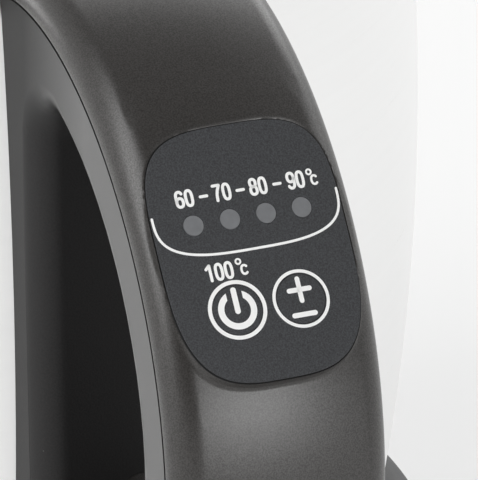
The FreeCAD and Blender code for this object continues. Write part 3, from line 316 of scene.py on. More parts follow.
def shaped(name, mesh):
    """Turns a bmesh in millimetres into an object in metres."""
    mesh.transform(Matrix.Scale(MM, 4))
    return placed(name, mesh)


def evaluated(item):
    """The mesh that a curve or an object's modifiers make."""
    graph = bpy.context.evaluated_depsgraph_get()
    return bpy.data.meshes.new_from_object(item.evaluated_get(graph))


def baked(item):
    """Replaces an object's mesh by what its modifiers make of it."""
    data = evaluated(item)
    item.modifiers.clear()
    item.data = data
    return item


def walled(item, thickness):
    """Gives a skin a wall on its inner side."""
    wall = item.modifiers.new("wall", "SOLIDIFY")
    wall.thickness = thickness * MM
    wall.offset = -1
    return baked(item)


def carved(item, *tools):
    """Cuts tools out of an object and removes them."""
    for tool in tools:
        cut = item.modifiers.new("cut", "BOOLEAN")
        cut.object = tool
        cut.solver = "EXACT"
    baked(item)
    for tool in tools:
        bpy.data.objects.remove(tool)
    return item


def smoothed(data, sharp):
    """Shades a mesh smooth, apart from edges sharper than an angle in degrees."""
    data.polygons.foreach_set("use_smooth", [True] * len(data.polygons))
    data.set_sharp_from_angle(angle=math.radians(sharp))


def settled(item, finish, node, sharp=32.0, replaces=True):
    """Gives an object its finish and lets it ride on the body of the CAD node it stands for.

    No angle for sharp edges keeps the shading that the mesh has."""
    data = item.data
    data.materials.clear()
    data.materials.append(finish.material)
    data.polygons.foreach_set("material_index", [0] * len(data.polygons))
    if sharp:
        smoothed(data, sharp)
    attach(item, body_of[node])
    if replaces:
        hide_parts(node)
    return item


def smooth_copy(node, finish):
    """A merged copy of a CAD node, shaded smooth across its gentle edges with flat faces kept flat."""
    mesh = bmesh.new()
    mesh.from_mesh(cad_nodes[node].data)
    bmesh.ops.remove_doubles(mesh, verts=mesh.verts, dist=COPY_MERGE * MM)
    flat = math.radians(FLAT_WITHIN)
    bmesh.ops.dissolve_limit(mesh, angle_limit=flat, verts=mesh.verts, edges=mesh.edges)
    item = placed(f"{node}_smooth", mesh)
    smoothed(item.data, COPY_SHARP)
    large_faces = item.modifiers.new("large_faces", "WEIGHTED_NORMAL")
    large_faces.keep_sharp = True
    return settled(baked(item), finish, node, sharp=None)


def painted(finish, *names):
    """Gives CAD nodes that keep their own shape a finish."""
    for name in names:
        data = cad_nodes[name].data
        data.materials.clear()
        data.materials.append(finish.material)


def rounded(corners, steps=6):
    """Points of a closed outline whose corners may hold the radius of a round as a third number."""
    points = []
    for index, corner in enumerate(corners):
        here = Vector(corner[:2])
        size = corner[2] if len(corner) > 2 else 0
        if not size:
            points.append(here)
            continue
        before = (Vector(corners[index - 1][:2]) - here).normalized()
        after = (Vector(corners[(index + 1) % len(corners)][:2]) - here).normalized()
        half = before.angle(after) / 2
        centre = here + (before + after).normalized() * (size / math.sin(half))
        first = here + before * (size / math.tan(half)) - centre
        last = here + after * (size / math.tan(half)) - centre
        sweep = first.angle_signed(last)
        for step in range(steps + 1):
            turned_by = Matrix.Rotation(-sweep * step / steps, 2)
            points.append(centre + turned_by @ first)
    return points


def evenly(first, last, steps):
    """Values in even steps from the first, up to the last but without it."""
    return [first + (last - first) * step / steps for step in range(steps)]


def arc(centre, radius, first, last, steps):
    """Points of an arc between two angles in degrees."""
    angles = [math.radians(angle) for angle in (*evenly(first, last, steps), last)]
    return [Vector((centre[0] + radius * math.cos(a), centre[1] + radius * math.sin(a))) for a in angles]


def turns(steps):
    """Equal steps once round, in radians."""
    return evenly(0, math.tau, steps)


def tube(rings, closed=False):
    """Joins rings of points to a skin with open ends, or to a closed loop, with its poles merged."""
    mesh = bmesh.new()
    rows = [[mesh.verts.new(point) for point in ring] for ring in rings]
    others = rows[1:] + rows[:1] if closed else rows[1:]
    for row, other in zip(rows, others):
        if all((ring[0].co - ring[1].co).length < ON_AXIS for ring in (row, other)):
            continue
        for step in range(len(row)):
            ahead = (step + 1) % len(row)
            mesh.faces.new((row[step], row[ahead], other[ahead], other[step]))
    bmesh.ops.remove_doubles(mesh, verts=mesh.verts, dist=MERGE)
    bmesh.ops.dissolve_degenerate(mesh, edges=mesh.edges, dist=MERGE)
    bmesh.ops.recalc_face_normals(mesh, faces=mesh.faces)
    return mesh


def spun(outline, steps):
    """Spins a closed outline of (radius, height) points about the upright axis."""
    circle = [(math.cos(a), math.sin(a)) for a in turns(steps)]
    rings = [[(radius * x, radius * y, height) for x, y in circle] for radius, height in outline]
    return tube(rings, closed=True)


def ring_about(centre, axis, radius, steps):
    """Points of a circle about an axis."""
    across = axis.orthogonal().normalized() if abs(axis.y) > NEARLY_ALONG else Vector((0, 1, 0))
    other = axis.cross(across).normalized()
    return [centre + (across * math.cos(a) + other * math.sin(a)) * radius for a in turns(steps)]


def bead(path, thickness, steps=10):
    """A thin round bead along a closed path of points."""
    rings = []
    for index, point in enumerate(path):
        ahead = path[(index + 1) % len(path)] - path[index - 1]
        upright = Vector((0, 0, 1)) if abs(ahead.normalized().z) < NEARLY_ALONG else Vector((1, 0, 0))
        side = ahead.cross(upright).normalized()
        other = side.cross(ahead).normalized()
        circle = [side * math.cos(a) + other * math.sin(a) for a in turns(steps)]
        rings.append([point + direction * thickness for direction in circle])
    return tube(rings, closed=True)


# Copies of one pattern at several places
def spreading_tree():
    """Sets a pattern on every point, its axis along the point's facing direction."""
    group = bpy.data.node_groups.new("spread_pattern", "GeometryNodeTree")
    sockets = (("Places", "Geometry"), ("Pattern", "Object"), ("Finish", "Material"))
    for name, kind in sockets:
        group.interface.new_socket(name, in_out="INPUT", socket_type=f"NodeSocket{kind}")
    group.interface.new_socket("Copies", in_out="OUTPUT", socket_type="NodeSocketGeometry")
    nodes = Nodes(group)
    given = [Tone(nodes, socket) for socket in group.nodes.new("NodeGroupInput").outputs]
    facing = nodes.node(
        "GeometryNodeInputNamedAttribute", {"data_type": "FLOAT_VECTOR"}, {"Name": "facing"}
    )
    turn = nodes.node("FunctionNodeAlignRotationToVector", {"axis": "Z"}, {"Vector": facing})
    pattern = nodes.node("GeometryNodeObjectInfo", sockets={"Object": given[1]}, output="Geometry")
    spots = {"Points": given[0], "Instance": pattern, "Rotation": turn}
    copies = nodes.node("GeometryNodeInstanceOnPoints", sockets=spots)
    solid = nodes.node("GeometryNodeRealizeInstances", sockets={"Geometry": copies})
    dressed = nodes.node("GeometryNodeSetMaterial", sockets={"Geometry": solid, "Material": given[2]})
    nodes.join(group.nodes.new("NodeGroupOutput").inputs["Copies"], dressed)
    return group


spread_group = spreading_tree()


def spread(name, pattern, places, finish, node):
    """Copies a pattern object to (point, direction) places and settles the copies as one piece."""
    data = bpy.data.meshes.new(name)
    data.from_pydata([Vector(point) * MM for point, direction in places], [], [])
    facing = data.attributes.new("facing", "FLOAT_VECTOR", "POINT")
    facing.data.foreach_set("vector", [part for point, direction in places for part in direction])
    item = linked(name, data)
    modifier = item.modifiers.new("spread", "NODES")
    modifier.node_group = spread_group
    inputs = {socket.name: socket.identifier for socket in spread_group.interface.items_tree}
    modifier[inputs["Pattern"]] = pattern
    modifier[inputs["Finish"]] = finish.material
    settled(baked(item), finish, node)


# Sizes of the kettle that the dressed pieces follow
SHELL_LOW = 35.7
BELLY = 98.2
BODY_RADIUS = 73.0
BODY_CURVE = 426.0
BARREL_CENTRE = (BODY_RADIUS - BODY_CURVE, BELLY)
SHOULDER = 147.7
SHOULDER_ROUND = 11.0
SHELL_WALL = 0.8
MOUTH_RADIUS = 47.0
MOUTH_COLLAR = 4.0
HALVINGS = 40
lean = math.asin((SHOULDER - BELLY) / BODY_CURVE)
shoulder_centre = (
    BARREL_CENTRE[0] + (BODY_CURVE - SHOULDER_ROUND) * math.cos(lean),
    SHOULDER - SHOULDER_ROUND * math.sin(lean),
)
shoulder_top = shoulder_centre[1] + SHOULDER_ROUND
mouth = shoulder_top + MOUTH_COLLAR


def body_gap(point):
    """How far a point lies outside the body shell."""
    radius = math.hypot(point.x, point.y)
    along = Vector((radius - shoulder_centre[0], point.z - shoulder_centre[1]))
    if radius < shoulder_centre[0] and along.y > 0:
        return point.z - shoulder_top
    if along.y > along.length * math.sin(lean):
        return along.length - SHOULDER_ROUND
    return math.hypot(radius - BARREL_CENTRE[0], point.z - BARREL_CENTRE[1]) - BODY_CURVE


def meeting(path, start, end, gap):
    """The parameter at which a path from outside reaches a gap from the body shell."""
    for _ in range(HALVINGS):
        middle = (start + end) / 2
        if body_gap(path(middle)) > gap:
            start = middle
        else:
            end = middle
    return (start + end) / 2


# Body shell, spout and lid
low_lean = math.degrees(math.asin((SHELL_LOW - BELLY) / BODY_CURVE))
lean_degrees = math.degrees(lean)
shell_outline = arc(BARREL_CENTRE, BODY_CURVE, low_lean, lean_degrees, 48)
shell_outline += arc(shoulder_centre, SHOULDER_ROUND, lean_degrees, 90, 14)[1:]
shell_outline += rounded([
    (MOUTH_RADIUS + SHELL_WALL, shoulder_top, 0.6),
    (MOUTH_RADIUS + SHELL_WALL, mouth, 0.35),
    (MOUTH_RADIUS, mouth, 0.35),
    (MOUTH_RADIUS, shoulder_top - SHELL_WALL),
    (shoulder_centre[0], shoulder_top - SHELL_WALL),
    (shoulder_centre[0], shoulder_top),
])[:-2]
shell_outline += arc(shoulder_centre, SHOULDER_ROUND - SHELL_WALL, 90, lean_degrees, 14)
shell_outline += arc(BARREL_CENTRE, BODY_CURVE - SHELL_WALL, lean_degrees, low_lean, 48)[1:]
SPOUT_TILT = 25.0
SPOUT_HEIGHT = 70.9
ROOT_LENGTH = 16.0
ROOT_BEND = 40.0
ROOT_LINES = 72
ROOT_STEPS = 14
WELD_BEAD = 0.55
SEAM_BEAD = 0.16
NECK_RADIUS = 9.0
TIP_RADIUS = 5.5
SPOUT_WALL = 0.8
RIM_STEPS = 6
# Runs of the neck: radius of a bend and the heading it ends at, or no radius and a straight length
NECK_RUNS = ((26.0, 80.0, 24), (None, 36.0, 8), (-17.0, -25.0, 36), (None, 9.88, 4))


def facing_up(angle):
    """Direction towards the spout's side at an angle above the level."""
    turn = math.radians(angle)
    return Vector((math.cos(turn), 0, math.sin(turn)))


SPOUT_AXIS = facing_up(SPOUT_TILT)
spout_origin = Vector((
    BARREL_CENTRE[0] + math.sqrt(BODY_CURVE ** 2 - (SPOUT_HEIGHT - BELLY) ** 2), 0, SPOUT_HEIGHT
))
neck_start = spout_origin + SPOUT_AXIS * ROOT_LENGTH
shell = shaped("body_shell_steel", spun(shell_outline, 192))
pour_hole = tube([
    ring_about(spout_origin + SPOUT_AXIS * reach, SPOUT_AXIS, NECK_RADIUS - SPOUT_WALL, 48)
    for reach in (-ROOT_LENGTH, ROOT_LENGTH)
])
bmesh.ops.holes_fill(pour_hole, edges=pour_hole.edges)
bmesh.ops.recalc_face_normals(pour_hole, faces=pour_hole.faces)
settled(carved(shell, shaped("pour_hole", pour_hole)), shell_steel, "body_shell")


def root_line(angle):
    """The flared root of the spout at an angle round its axis, from the neck to the body."""
    upright = Vector((-SPOUT_AXIS.z, 0, SPOUT_AXIS.x))
    outwards = Vector((0, 1, 0)) * math.cos(angle) + upright * math.sin(angle)

    def spot(back):
        radius = NECK_RADIUS + ROOT_BEND - math.sqrt(ROOT_BEND ** 2 - back ** 2)
        return neck_start - SPOUT_AXIS * back + outwards * radius

    return spot


def spout_root():
    """The root with its wall, and the beads of weld where it meets the body and the neck."""
    lines = []
    for angle in turns(ROOT_LINES):
        spot = root_line(angle)
        foot = meeting(spot, 0.0, ROOT_LENGTH * 2, 0.0)
        lines.append([spot(foot * step / ROOT_STEPS) for step in range(ROOT_STEPS + 1)])
    rings = [[line[step] for line in lines] for step in range(ROOT_STEPS + 1)]
    root = shaped("spout_root_steel", tube(rings))
    settled(walled(root, SPOUT_WALL), tube_steel, "spout_root")
    for name, ring, thickness in (("spout_weld", -1, WELD_BEAD), ("spout_seam", 0, SEAM_BEAD)):
        item = shaped(name, bead(rings[ring], thickness))
        settled(item, tube_steel, "spout_root", replaces=False)


def spout_line():
    """Points and headings of the neck's centre line: a bend up, a straight, the crook and the tip."""
    points = []
    place, heading = neck_start.copy(), SPOUT_TILT
    for bend, target, steps in NECK_RUNS:
        start, first = place.copy(), heading
        for step in range(steps + 1):
            share = step / steps
            if bend is None:
                place = start + facing_up(first) * target * share
            else:
                heading = first + (target - first) * share
                centre = start + facing_up(first + 90) * bend
                place = centre - facing_up(heading + 90) * bend
            points.append((place.copy(), heading))
    return points


def spout_neck():
    """The bent, tapering tube, with a rolled rim at its tip."""
    line = spout_line()
    lengths = [0.0]
    for (place, heading), (other, turn) in zip(line, line[1:]):
        lengths.append(lengths[-1] + (other - place).length)
    slope = (TIP_RADIUS - NECK_RADIUS) / lengths[-1]
    outer = [(*spot, NECK_RADIUS + slope * length) for spot, length in zip(line, lengths)]
    place, heading, radius = outer.pop()
    half = SPOUT_WALL / 2
    rim = []
    for point in arc((-half, radius - half), half, 90, -90, RIM_STEPS):
        rim.append((place + facing_up(heading) * point.x, heading, point.y))
    inner = [(spot, turn, size - SPOUT_WALL) for spot, turn, size in reversed(outer)]
    rings = [ring_about(spot, facing_up(turn), size, 48) for spot, turn, size in outer + rim + inner]
    settled(shaped("spout_neck_steel", tube(rings, closed=True)), tube_steel, "spout_neck")


spout_root()
spout_neck()

LID_WALL = 1.2
LID_GAP = 0.3
LID_OVERHANG = 1.2
LID_RISE = 6.0
LID_LOW = mouth + LID_GAP
LID_EDGE = MOUTH_RADIUS + SHELL_WALL + LID_OVERHANG
LID_TOP = LID_LOW + LID_WALL + LID_RISE
LID_LANDING = 10.0
LID_CURVE = 160.0
SKIRT_GAP = 1.6
SKIRT_OUT = MOUTH_RADIUS - SKIRT_GAP
SKIRT_IN = SKIRT_OUT - LID_WALL
SKIRT_LOW = LID_LOW - 13.0
KNOB_BORE = 2.0
VENT_RADIUS = 1.6
VENT_CIRCLE = 34.0
VENT_TURNS = (-18, 0, 18)
SEAL_TOP = LID_LOW - 4.0
KNOB_FOOT = 8.0
KNOB_SOCKET = LID_TOP + 11.0
KNOB_TOP = LID_TOP + 21.0


def lid_dome(first, last, steps=24):
    """Points of the lid's domed face between two (radius, height) points."""
    first, last = Vector(first), Vector(last)
    chord = last - first
    away = Vector((-chord.y, chord.x)).normalized()
    if away.y > 0:
        away.negate()
    centre = (first + last) / 2 + away * math.sqrt(LID_CURVE ** 2 - (chord.length / 2) ** 2)
    angles = [math.degrees(math.atan2(point.y - centre.y, point.x - centre.x)) for point in (first, last)]
    return arc(centre, LID_CURVE, angles[0], angles[1], steps)


lid_outline = [(KNOB_BORE, LID_TOP), (KNOB_BORE, LID_TOP - LID_WALL)]
lid_outline += lid_dome((LID_LANDING, LID_TOP - LID_WALL), (SKIRT_IN, LID_LOW))
lid_outline += rounded([
    (SKIRT_IN, LID_LOW), (SKIRT_IN, SKIRT_LOW, 0.4), (SKIRT_OUT, SKIRT_LOW, 0.4),
    (SKIRT_OUT, LID_LOW, 0.5), (LID_EDGE, LID_LOW, 0.5), (LID_EDGE, LID_LOW + LID_WALL, 0.5),
    (LID_LANDING, LID_TOP),
])[1:-1]
lid_outline += lid_dome((LID_EDGE - 0.6, LID_LOW + 1.3), (LID_LANDING, LID_TOP))


def vent_hole(turn):
    """A tool for one of the lid's steam vents."""
    above = LID_TOP + 1
    vent = spun([(0, LID_LOW), (VENT_RADIUS, LID_LOW), (VENT_RADIUS, above), (0, above)], 32)
    centre = Matrix.Rotation(math.radians(turn), 3, "Z") @ Vector((VENT_CIRCLE, 0, 0))
    vent.transform(Matrix.Translation(centre))
    return shaped("vent", vent)


lid = shaped("lid_steel", spun(lid_outline, 160))
settled(carved(lid, *map(vent_hole, VENT_TURNS)), shell_steel, "lid_cover")
seal_outline = rounded([
    (SKIRT_OUT, SEAL_TOP - 3.0), (SKIRT_OUT + 0.5, SEAL_TOP - 3.0, 0.2),
    (SKIRT_OUT + 1.3, SEAL_TOP - 2.3, 0.3), (SKIRT_OUT + 0.7, SEAL_TOP - 1.5, 0.2),
    (SKIRT_OUT + 1.3, SEAL_TOP - 0.7, 0.3), (SKIRT_OUT + 0.5, SEAL_TOP, 0.2), (SKIRT_OUT, SEAL_TOP),
])
settled(shaped("lid_seal_ring", spun(seal_outline, 160)), seal_silicone, "lid_seal")
knob_outline = rounded([
    (KNOB_BORE, LID_TOP), (KNOB_FOOT, LID_TOP, 0.5), (KNOB_FOOT, LID_TOP + 1.0, 0.4),
    (6.0, LID_TOP + 6.5, 5.0), (13.6, LID_TOP + 13.8, 1.6), (14.0, KNOB_TOP - 4.4, 1.4),
    (11.4, KNOB_TOP - 1.3, 1.6), (6.0, KNOB_TOP - 0.35, 8.0), (0, KNOB_TOP - 0.05),
    (0, KNOB_SOCKET), (KNOB_BORE, KNOB_SOCKET),
], 8)
settled(shaped("knob_moulding", spun(knob_outline, 96)), handle_black, "lid_knob", sharp=40)

# Handle: the cover with the pad of the panel drawn out of it
ARCH_CENTRE = Vector((-82.7, 0, 100.2))
ARCH_RADIUS = 60.0
LOWER_RADIUS = 90.0
HEEL_RADIUS = 27.0
HANDLE_LOW = 42.7
LOWER_CENTRE = ARCH_CENTRE + Vector((LOWER_RADIUS - ARCH_RADIUS, 0, 0))
HALF_WIDTH = 16.2
GRIP_CROWN = 80.0
GRIP_ROUND = 5.0
COVER_DEPTH = 6.5
COVER_WALL = 2.4
SEAM_FALL = 0.3
SEAM_SET_IN = 0.12
SADDLE_GAP = 0.15
FINE_STEP = 0.3
FINE_FROM = 62.0
FINE_TO = 14.0
lower_sweep = math.degrees(
    math.asin((ARCH_CENTRE.z - HANDLE_LOW - HEEL_RADIUS) / (LOWER_RADIUS - HEEL_RADIUS))
)


def outward(angle):
    """Direction away from the grip at an angle above the straight back."""
    return facing_up(180 - angle)


HEEL_CENTRE = LOWER_CENTRE + outward(-lower_sweep) * (LOWER_RADIUS - HEEL_RADIUS)

# The panel's own frame: x to the right, y up, z out of its face, from the middle of the lamp row
PANEL_TILT = 40.0
PANEL_NORMAL = outward(PANEL_TILT)
PANEL_RIGHT = Vector((0, -1, 0))
PANEL_UP = PANEL_NORMAL.cross(PANEL_RIGHT)
PANEL_SINK = 1.5
LAMP_RISE = 2.2
PANEL_ORIGIN = ARCH_CENTRE + PANEL_NORMAL * (ARCH_RADIUS - PANEL_SINK) + PANEL_UP * LAMP_RISE
panel_axes = Matrix((PANEL_RIGHT, PANEL_UP, PANEL_NORMAL)).transposed().to_4x4()
panel_place = Matrix.Translation(PANEL_ORIGIN) @ panel_axes
PANEL_HALF_WIDTH = 14.0
PANEL_TOP = 13.35
PANEL_BOTTOM = 23.45
PANEL_WAIST = -3.0
TOP_SQUARENESS = 3.7
BOTTOM_SQUARENESS = 3.25
PANEL_CROWN = 180.0
FILM = 0.5
ADHESIVE = 0.2
# How far the adhesive layer reaches beyond the film: its near-black rim there is a painted shadow line.
ADHESIVE_SHADOW_RIM = 0.18
PAD_MARGIN = 0.15
PAD_SLOPE = 0.35
PAD_SIDE_SLOPE = 0.25
PAD_FILLET = 1.5
PAD_SIDE_FILLET = 0.6
SIDE_FALL = 0.4
PAD_EDGE = 0.25
PAD_REACH = 5.0
PAD_FACING = 0.8
LIP_INSET = 0.1
LIP_WIDTH = 0.25
LAMP_RADIUS = 1.46
LAMP_GAP = 0.05
LAMP_DEPTH = 7.6
LAMP_PITCH = 5.37
LAMPS = [((index - 1.5) * LAMP_PITCH, 0.0) for index in range(4)]
KEY_RADIUS = 3.55
KEY_GAP = 0.06
KEY_DEPTH = 4.8
KEY_FLANGE = 0.8
FLANGE_THICKNESS = 0.7
NEAR_PANEL = 4.0
KEY_OPENING = KEY_RADIUS + 0.5
LAMP_OPENING = LAMP_RADIUS + 0.3
POWER_KEY = (-4.725, -12.8)
TEMPERATURE_KEY = (4.725, -12.8)


def crown(x, inset=0.0):
    """Height of the panel's gently crowned face, set in by a thickness."""
    return math.sqrt((PANEL_CROWN - inset) ** 2 - x ** 2) - PANEL_CROWN


def on_panel(name, mesh):
    """Takes a mesh from the panel's own frame to the handle and makes it an object."""
    mesh.transform(panel_place)
    bmesh.ops.recalc_face_normals(mesh, faces=mesh.faces)
    return shaped(name, mesh)


def panel_half(upper):
    """Height and squareness of the upper or lower half of the panel's outline, a squared oval."""
    if upper:
        return PANEL_TOP - PANEL_WAIST, TOP_SQUARENESS
    return PANEL_BOTTOM + PANEL_WAIST, BOTTOM_SQUARENESS


def panel_margin(x, y):
    """About how far a point of the panel's plane lies outside the panel's outline."""
    height, power = panel_half(y > PANEL_WAIST)
    across = max(abs(x) / PANEL_HALF_WIDTH, ON_AXIS)
    along = max(abs(y - PANEL_WAIST) / height, ON_AXIS)
    level = (across ** power + along ** power) ** (1 / power)
    steepness = math.hypot(across ** (power - 1) / PANEL_HALF_WIDTH, along ** (power - 1) / height)
    return (level - 1) * level ** (power - 1) / steepness


def held(share):
    """A share held between zero and one."""
    return min(max(share, 0), 1)


def cover_reach(angle, side, plain):
    """Distance of the cover's face from the arch's centre, with the pad blended into it."""
    direction = outward(angle)
    facing = direction.dot(PANEL_NORMAL)
    if facing < PAD_FACING:
        return plain
    seat = (crown(side, FILM) - (ARCH_CENTRE - PANEL_ORIGIN).dot(PANEL_NORMAL)) / facing
    spot = ARCH_CENTRE + direction * seat - PANEL_ORIGIN
    away = panel_margin(-side, spot.dot(PANEL_UP))
    plain = min(plain, seat + FILM / facing - max(away, 0) * SIDE_FALL)
    past = away - PAD_MARGIN
    beyond = abs(side) - PANEL_HALF_WIDTH - PAD_MARGIN
    drop = max((past + math.hypot(past, PAD_EDGE)) / 2 / PAD_SLOPE, beyond / PAD_SIDE_SLOPE)
    pad = seat - drop
    inwards = held((PANEL_HALF_WIDTH - abs(side)) / PAD_REACH)
    fillet = PAD_SIDE_FILLET + (PAD_FILLET - PAD_SIDE_FILLET) * inwards
    near = max(fillet - abs(plain - pad), 0) / fillet
    outside = max(plain, pad) + near * near * fillet / 4
    return seat + (outside - seat) * held((away + LIP_INSET) / LIP_WIDTH)


def cover_section():
    """Across the cover from side to side: (side, depth below the outer radius)."""
    corner_side = HALF_WIDTH - GRIP_ROUND
    corner_depth = GRIP_CROWN - math.sqrt((GRIP_CROWN - GRIP_ROUND) ** 2 - corner_side ** 2)
    crown_side = corner_side * GRIP_CROWN / (GRIP_CROWN - GRIP_ROUND)
    crown_turn = math.degrees(math.asin(crown_side / GRIP_CROWN))
    level = [FINE_STEP * step for step in range(int(crown_side / FINE_STEP))]
    half = [(side, GRIP_CROWN - math.sqrt(GRIP_CROWN ** 2 - side ** 2)) for side in level]
    sides = arc((corner_side, -corner_depth), GRIP_ROUND, 90 - crown_turn, 0, 26)
    half += [(point.x, -point.y) for point in sides]
    half += [(HALF_WIDTH, COVER_DEPTH - SEAM_FALL), (HALF_WIDTH - SEAM_SET_IN, COVER_DEPTH)]
    return [(-side, depth) for side, depth in half[:0:-1]] + half


def cover_column(side, depth):
    """One line of the cover from its upper end on the body to its lower end."""
    aside = Vector((0, side, 0))

    def on_arch(angle):
        return ARCH_CENTRE + outward(angle) * (ARCH_RADIUS - depth) + aside

    def on_leg(reach):
        return HEEL_CENTRE + outward(-90) * (HEEL_RADIUS - depth) + Vector((reach, side, 0))

    upper_end = meeting(on_arch, 80.0, 130.0, SADDLE_GAP)
    angles = evenly(upper_end, FINE_FROM, 16)
    angles += evenly(FINE_FROM, FINE_TO, round((FINE_FROM - FINE_TO) / FINE_STEP))
    angles += evenly(FINE_TO, 0.0, 7)
    column = []
    for angle in angles:
        reach = cover_reach(angle, side, ARCH_RADIUS - depth)
        column.append(ARCH_CENTRE + outward(angle) * reach + aside)
    for angle in evenly(0.0, -lower_sweep, 15):
        column.append(LOWER_CENTRE + outward(angle) * (LOWER_RADIUS - depth) + aside)
    for angle in evenly(-lower_sweep, -90.0, 14):
        column.append(HEEL_CENTRE + outward(angle) * (HEEL_RADIUS - depth) + aside)
    lower_end = meeting(on_leg, 0.0, 60.0, SADDLE_GAP)
    column += [on_leg(reach) for reach in evenly(0.0, lower_end, 10)]
    return column + [on_leg(lower_end)]


def handle_cover():
    """The outer shell of the handle, open for the keys and the lamps under the film."""
    columns = [cover_column(side, depth) for side, depth in cover_section()]
    openings = [(*spot, KEY_OPENING) for spot in (POWER_KEY, TEMPERATURE_KEY)]
    openings += [(*spot, LAMP_OPENING) for spot in LAMPS]
    mesh = bmesh.new()
    rows = [[mesh.verts.new(point) for point in column] for column in columns]
    for row, other in zip(rows, rows[1:]):
        for step in range(len(row) - 1):
            middle = (row[step].co + other[step + 1].co) / 2 - PANEL_ORIGIN
            x, y = middle.dot(PANEL_RIGHT), middle.dot(PANEL_UP)
            face_on = abs(middle.dot(PANEL_NORMAL)) < NEAR_PANEL
            if face_on and any(math.hypot(x - a, y - b) < size for a, b, size in openings):
                continue
            mesh.faces.new((row[step], row[step + 1], other[step + 1], other[step]))
    bmesh.ops.recalc_face_normals(mesh, faces=mesh.faces)
    cover = shaped("handle_cover_moulding", mesh)
    settled(walled(cover, COVER_WALL), handle_black, "handle_cover", sharp=50)


handle_cover()
smooth_copy("handle_frame", frame_black)


# Panel: the film, the keys, the lamps and the print
def squared(turn, power):
    """Point of a squared oval of unit size at an angle in radians."""
    return [math.copysign(abs(part) ** power, part) for part in (math.cos(turn), math.sin(turn))]


def panel_outline(inset, steps=160):
    """Points round the panel's outline, set in by a little."""
    points = []
    for step in range(steps):
        turn = math.tau * (step + 0.5) / steps
        height, power = panel_half(turn < math.pi)
        across, along = squared(turn, 2 / power)
        points.append((across * (PANEL_HALF_WIDTH - inset), PANEL_WAIST + along * (height - inset)))
    return points


def flat_curve(name, loops, thickness, edge):
    """A flat plate with holes and softened edges, from closed loops of points in metres."""
    curve = bpy.data.curves.new(name, "CURVE")
    curve.dimensions = "2D"
    curve.fill_mode = "BOTH"
    curve.extrude = (thickness / 2 - edge) * MM
    curve.bevel_depth = edge * MM
    curve.bevel_resolution = 2
    for loop in loops:
        spline = curve.splines.new("POLY")
        spline.points.add(len(loop) - 1)
        for point, spot in zip(spline.points, loop):
            point.co = (spot[0] * MM, spot[1] * MM, 0, 1)
        spline.use_cyclic_u = True
    item = linked(name, curve)
    data = evaluated(item)
    bpy.data.objects.remove(item)
    return data


def panel_layer(name, finish, inset, top, thickness, edge, replaces):
    """One layer of the panel: a thin crowned plate with its key and lamp openings."""
    loops = [panel_outline(inset + edge)]
    for spot in (POWER_KEY, TEMPERATURE_KEY):
        loops.append(arc(spot, KEY_RADIUS + KEY_GAP + edge, 0, 360, 120)[:-1])
    for spot in LAMPS:
        loops.append(arc(spot, LAMP_RADIUS + LAMP_GAP + edge, 0, 360, 60)[:-1])
    mesh = bmesh.new()
    mesh.from_mesh(flat_curve(name, loops, thickness, edge))
    mesh.transform(Matrix.Scale(1 / MM, 4))
    bmesh.ops.remove_doubles(mesh, verts=mesh.verts, dist=0.002)
    for x in range(-13, 14):
        bmesh.ops.bisect_plane(
            mesh, geom=mesh.verts[:] + mesh.edges[:] + mesh.faces[:], dist=MERGE,
            plane_co=(x, 0, 0), plane_no=(1, 0, 0),
        )
    for vertex in mesh.verts:
        vertex.co.z += crown(vertex.co.x) - top - thickness / 2
    settled(on_panel(name, mesh), finish, "control_overlay", sharp=40, replaces=replaces)


def crowned_stud(name, spot, radius, depth, flange, edge=0.06):
    """A round stud whose top follows the panel's crown: a key cap or a lamp window."""
    low = -depth - FLANGE_THICKNESS
    outline = [(size, 0.0) for size in evenly(0.0, radius, 6)]
    outline += [(radius - edge, 0.0), (radius - edge * 0.3, -edge * 0.3), (radius, -edge)]
    outline += [(radius, -depth)]
    if flange:
        outline += [(radius + flange, -depth), (radius + flange, low), (0.0, low)]
    else:
        outline += [(0.0, -depth)]
    mesh = spun(outline, 64)
    for vertex in mesh.verts:
        vertex.co.x += spot[0]
        vertex.co.y += spot[1]
        if vertex.co.z > -edge * 2:
            vertex.co.z += crown(vertex.co.x)
    return on_panel(name, mesh)


def joined(name, items):
    """Joins objects' meshes to one object."""
    mesh = bmesh.new()
    for item in items:
        mesh.from_mesh(item.data)
        bpy.data.objects.remove(item)
    return placed(name, mesh)


panel_layer("panel_film", film_grey, 0.0, 0.0, FILM - ADHESIVE, 0.05, True)
# The adhesive layer under the film. Its rim beyond the film is coloured near black as a painted shadow
# line at the film's edge.
panel_layer("panel_adhesive", adhesive_shadow_black, -ADHESIVE_SHADOW_RIM, FILM - ADHESIVE, ADHESIVE, 0.02, False)
for node, spot in (("power_key", POWER_KEY), ("temperature_key", TEMPERATURE_KEY)):
    cap = crowned_stud(f"{node}_cap", spot, KEY_RADIUS, KEY_DEPTH, KEY_FLANGE)
    settled(cap, film_grey, node)
lamps = [crowned_stud("lamp", spot, LAMP_RADIUS, LAMP_DEPTH, 0) for spot in LAMPS]
settled(joined("lamp_windows", lamps), window_grey, "light_pipes")

INK = 0.02
FIGURE_STROKE = 0.43
FIGURE_HALF = 0.455
FIGURE_TALL = 1.08
# Layout of the print in the panel's plane: figures with their middle, height and pitch
FIGURE_ROWS = (
    ("60", -8.47, 3.95, 1.39),
    ("70", -2.97, 3.95, 1.39),
    ("80", 2.42, 3.95, 1.39),
    ("90", 8.08, 3.95, 1.39),
    ("100", -6.05, -7.06, 1.42),
)
DASHES = (-5.68, -0.25, 5.27)
DASH_ROW = 3.83
DASH_HALF = 0.48
# Middles of a degree ring and of its letter
DEGREE_MARKS = (((10.29, 4.8), (10.88, 3.58)), ((-3.05, -6.1), (-2.38, -7.36)))
DEGREE_STROKE = 0.27
LETTER_STROKE = 0.34
BRACKET_MIDDLE = (0.05, 1.9)
BRACKET_HALF = (13.72, 6.6)
BRACKET_SQUARENESS = 3.1
BRACKET_STROKE = 0.36
KEY_RING = 3.96
KEY_RING_STROKES = ((POWER_KEY, 0.56), (TEMPERATURE_KEY, 0.46))
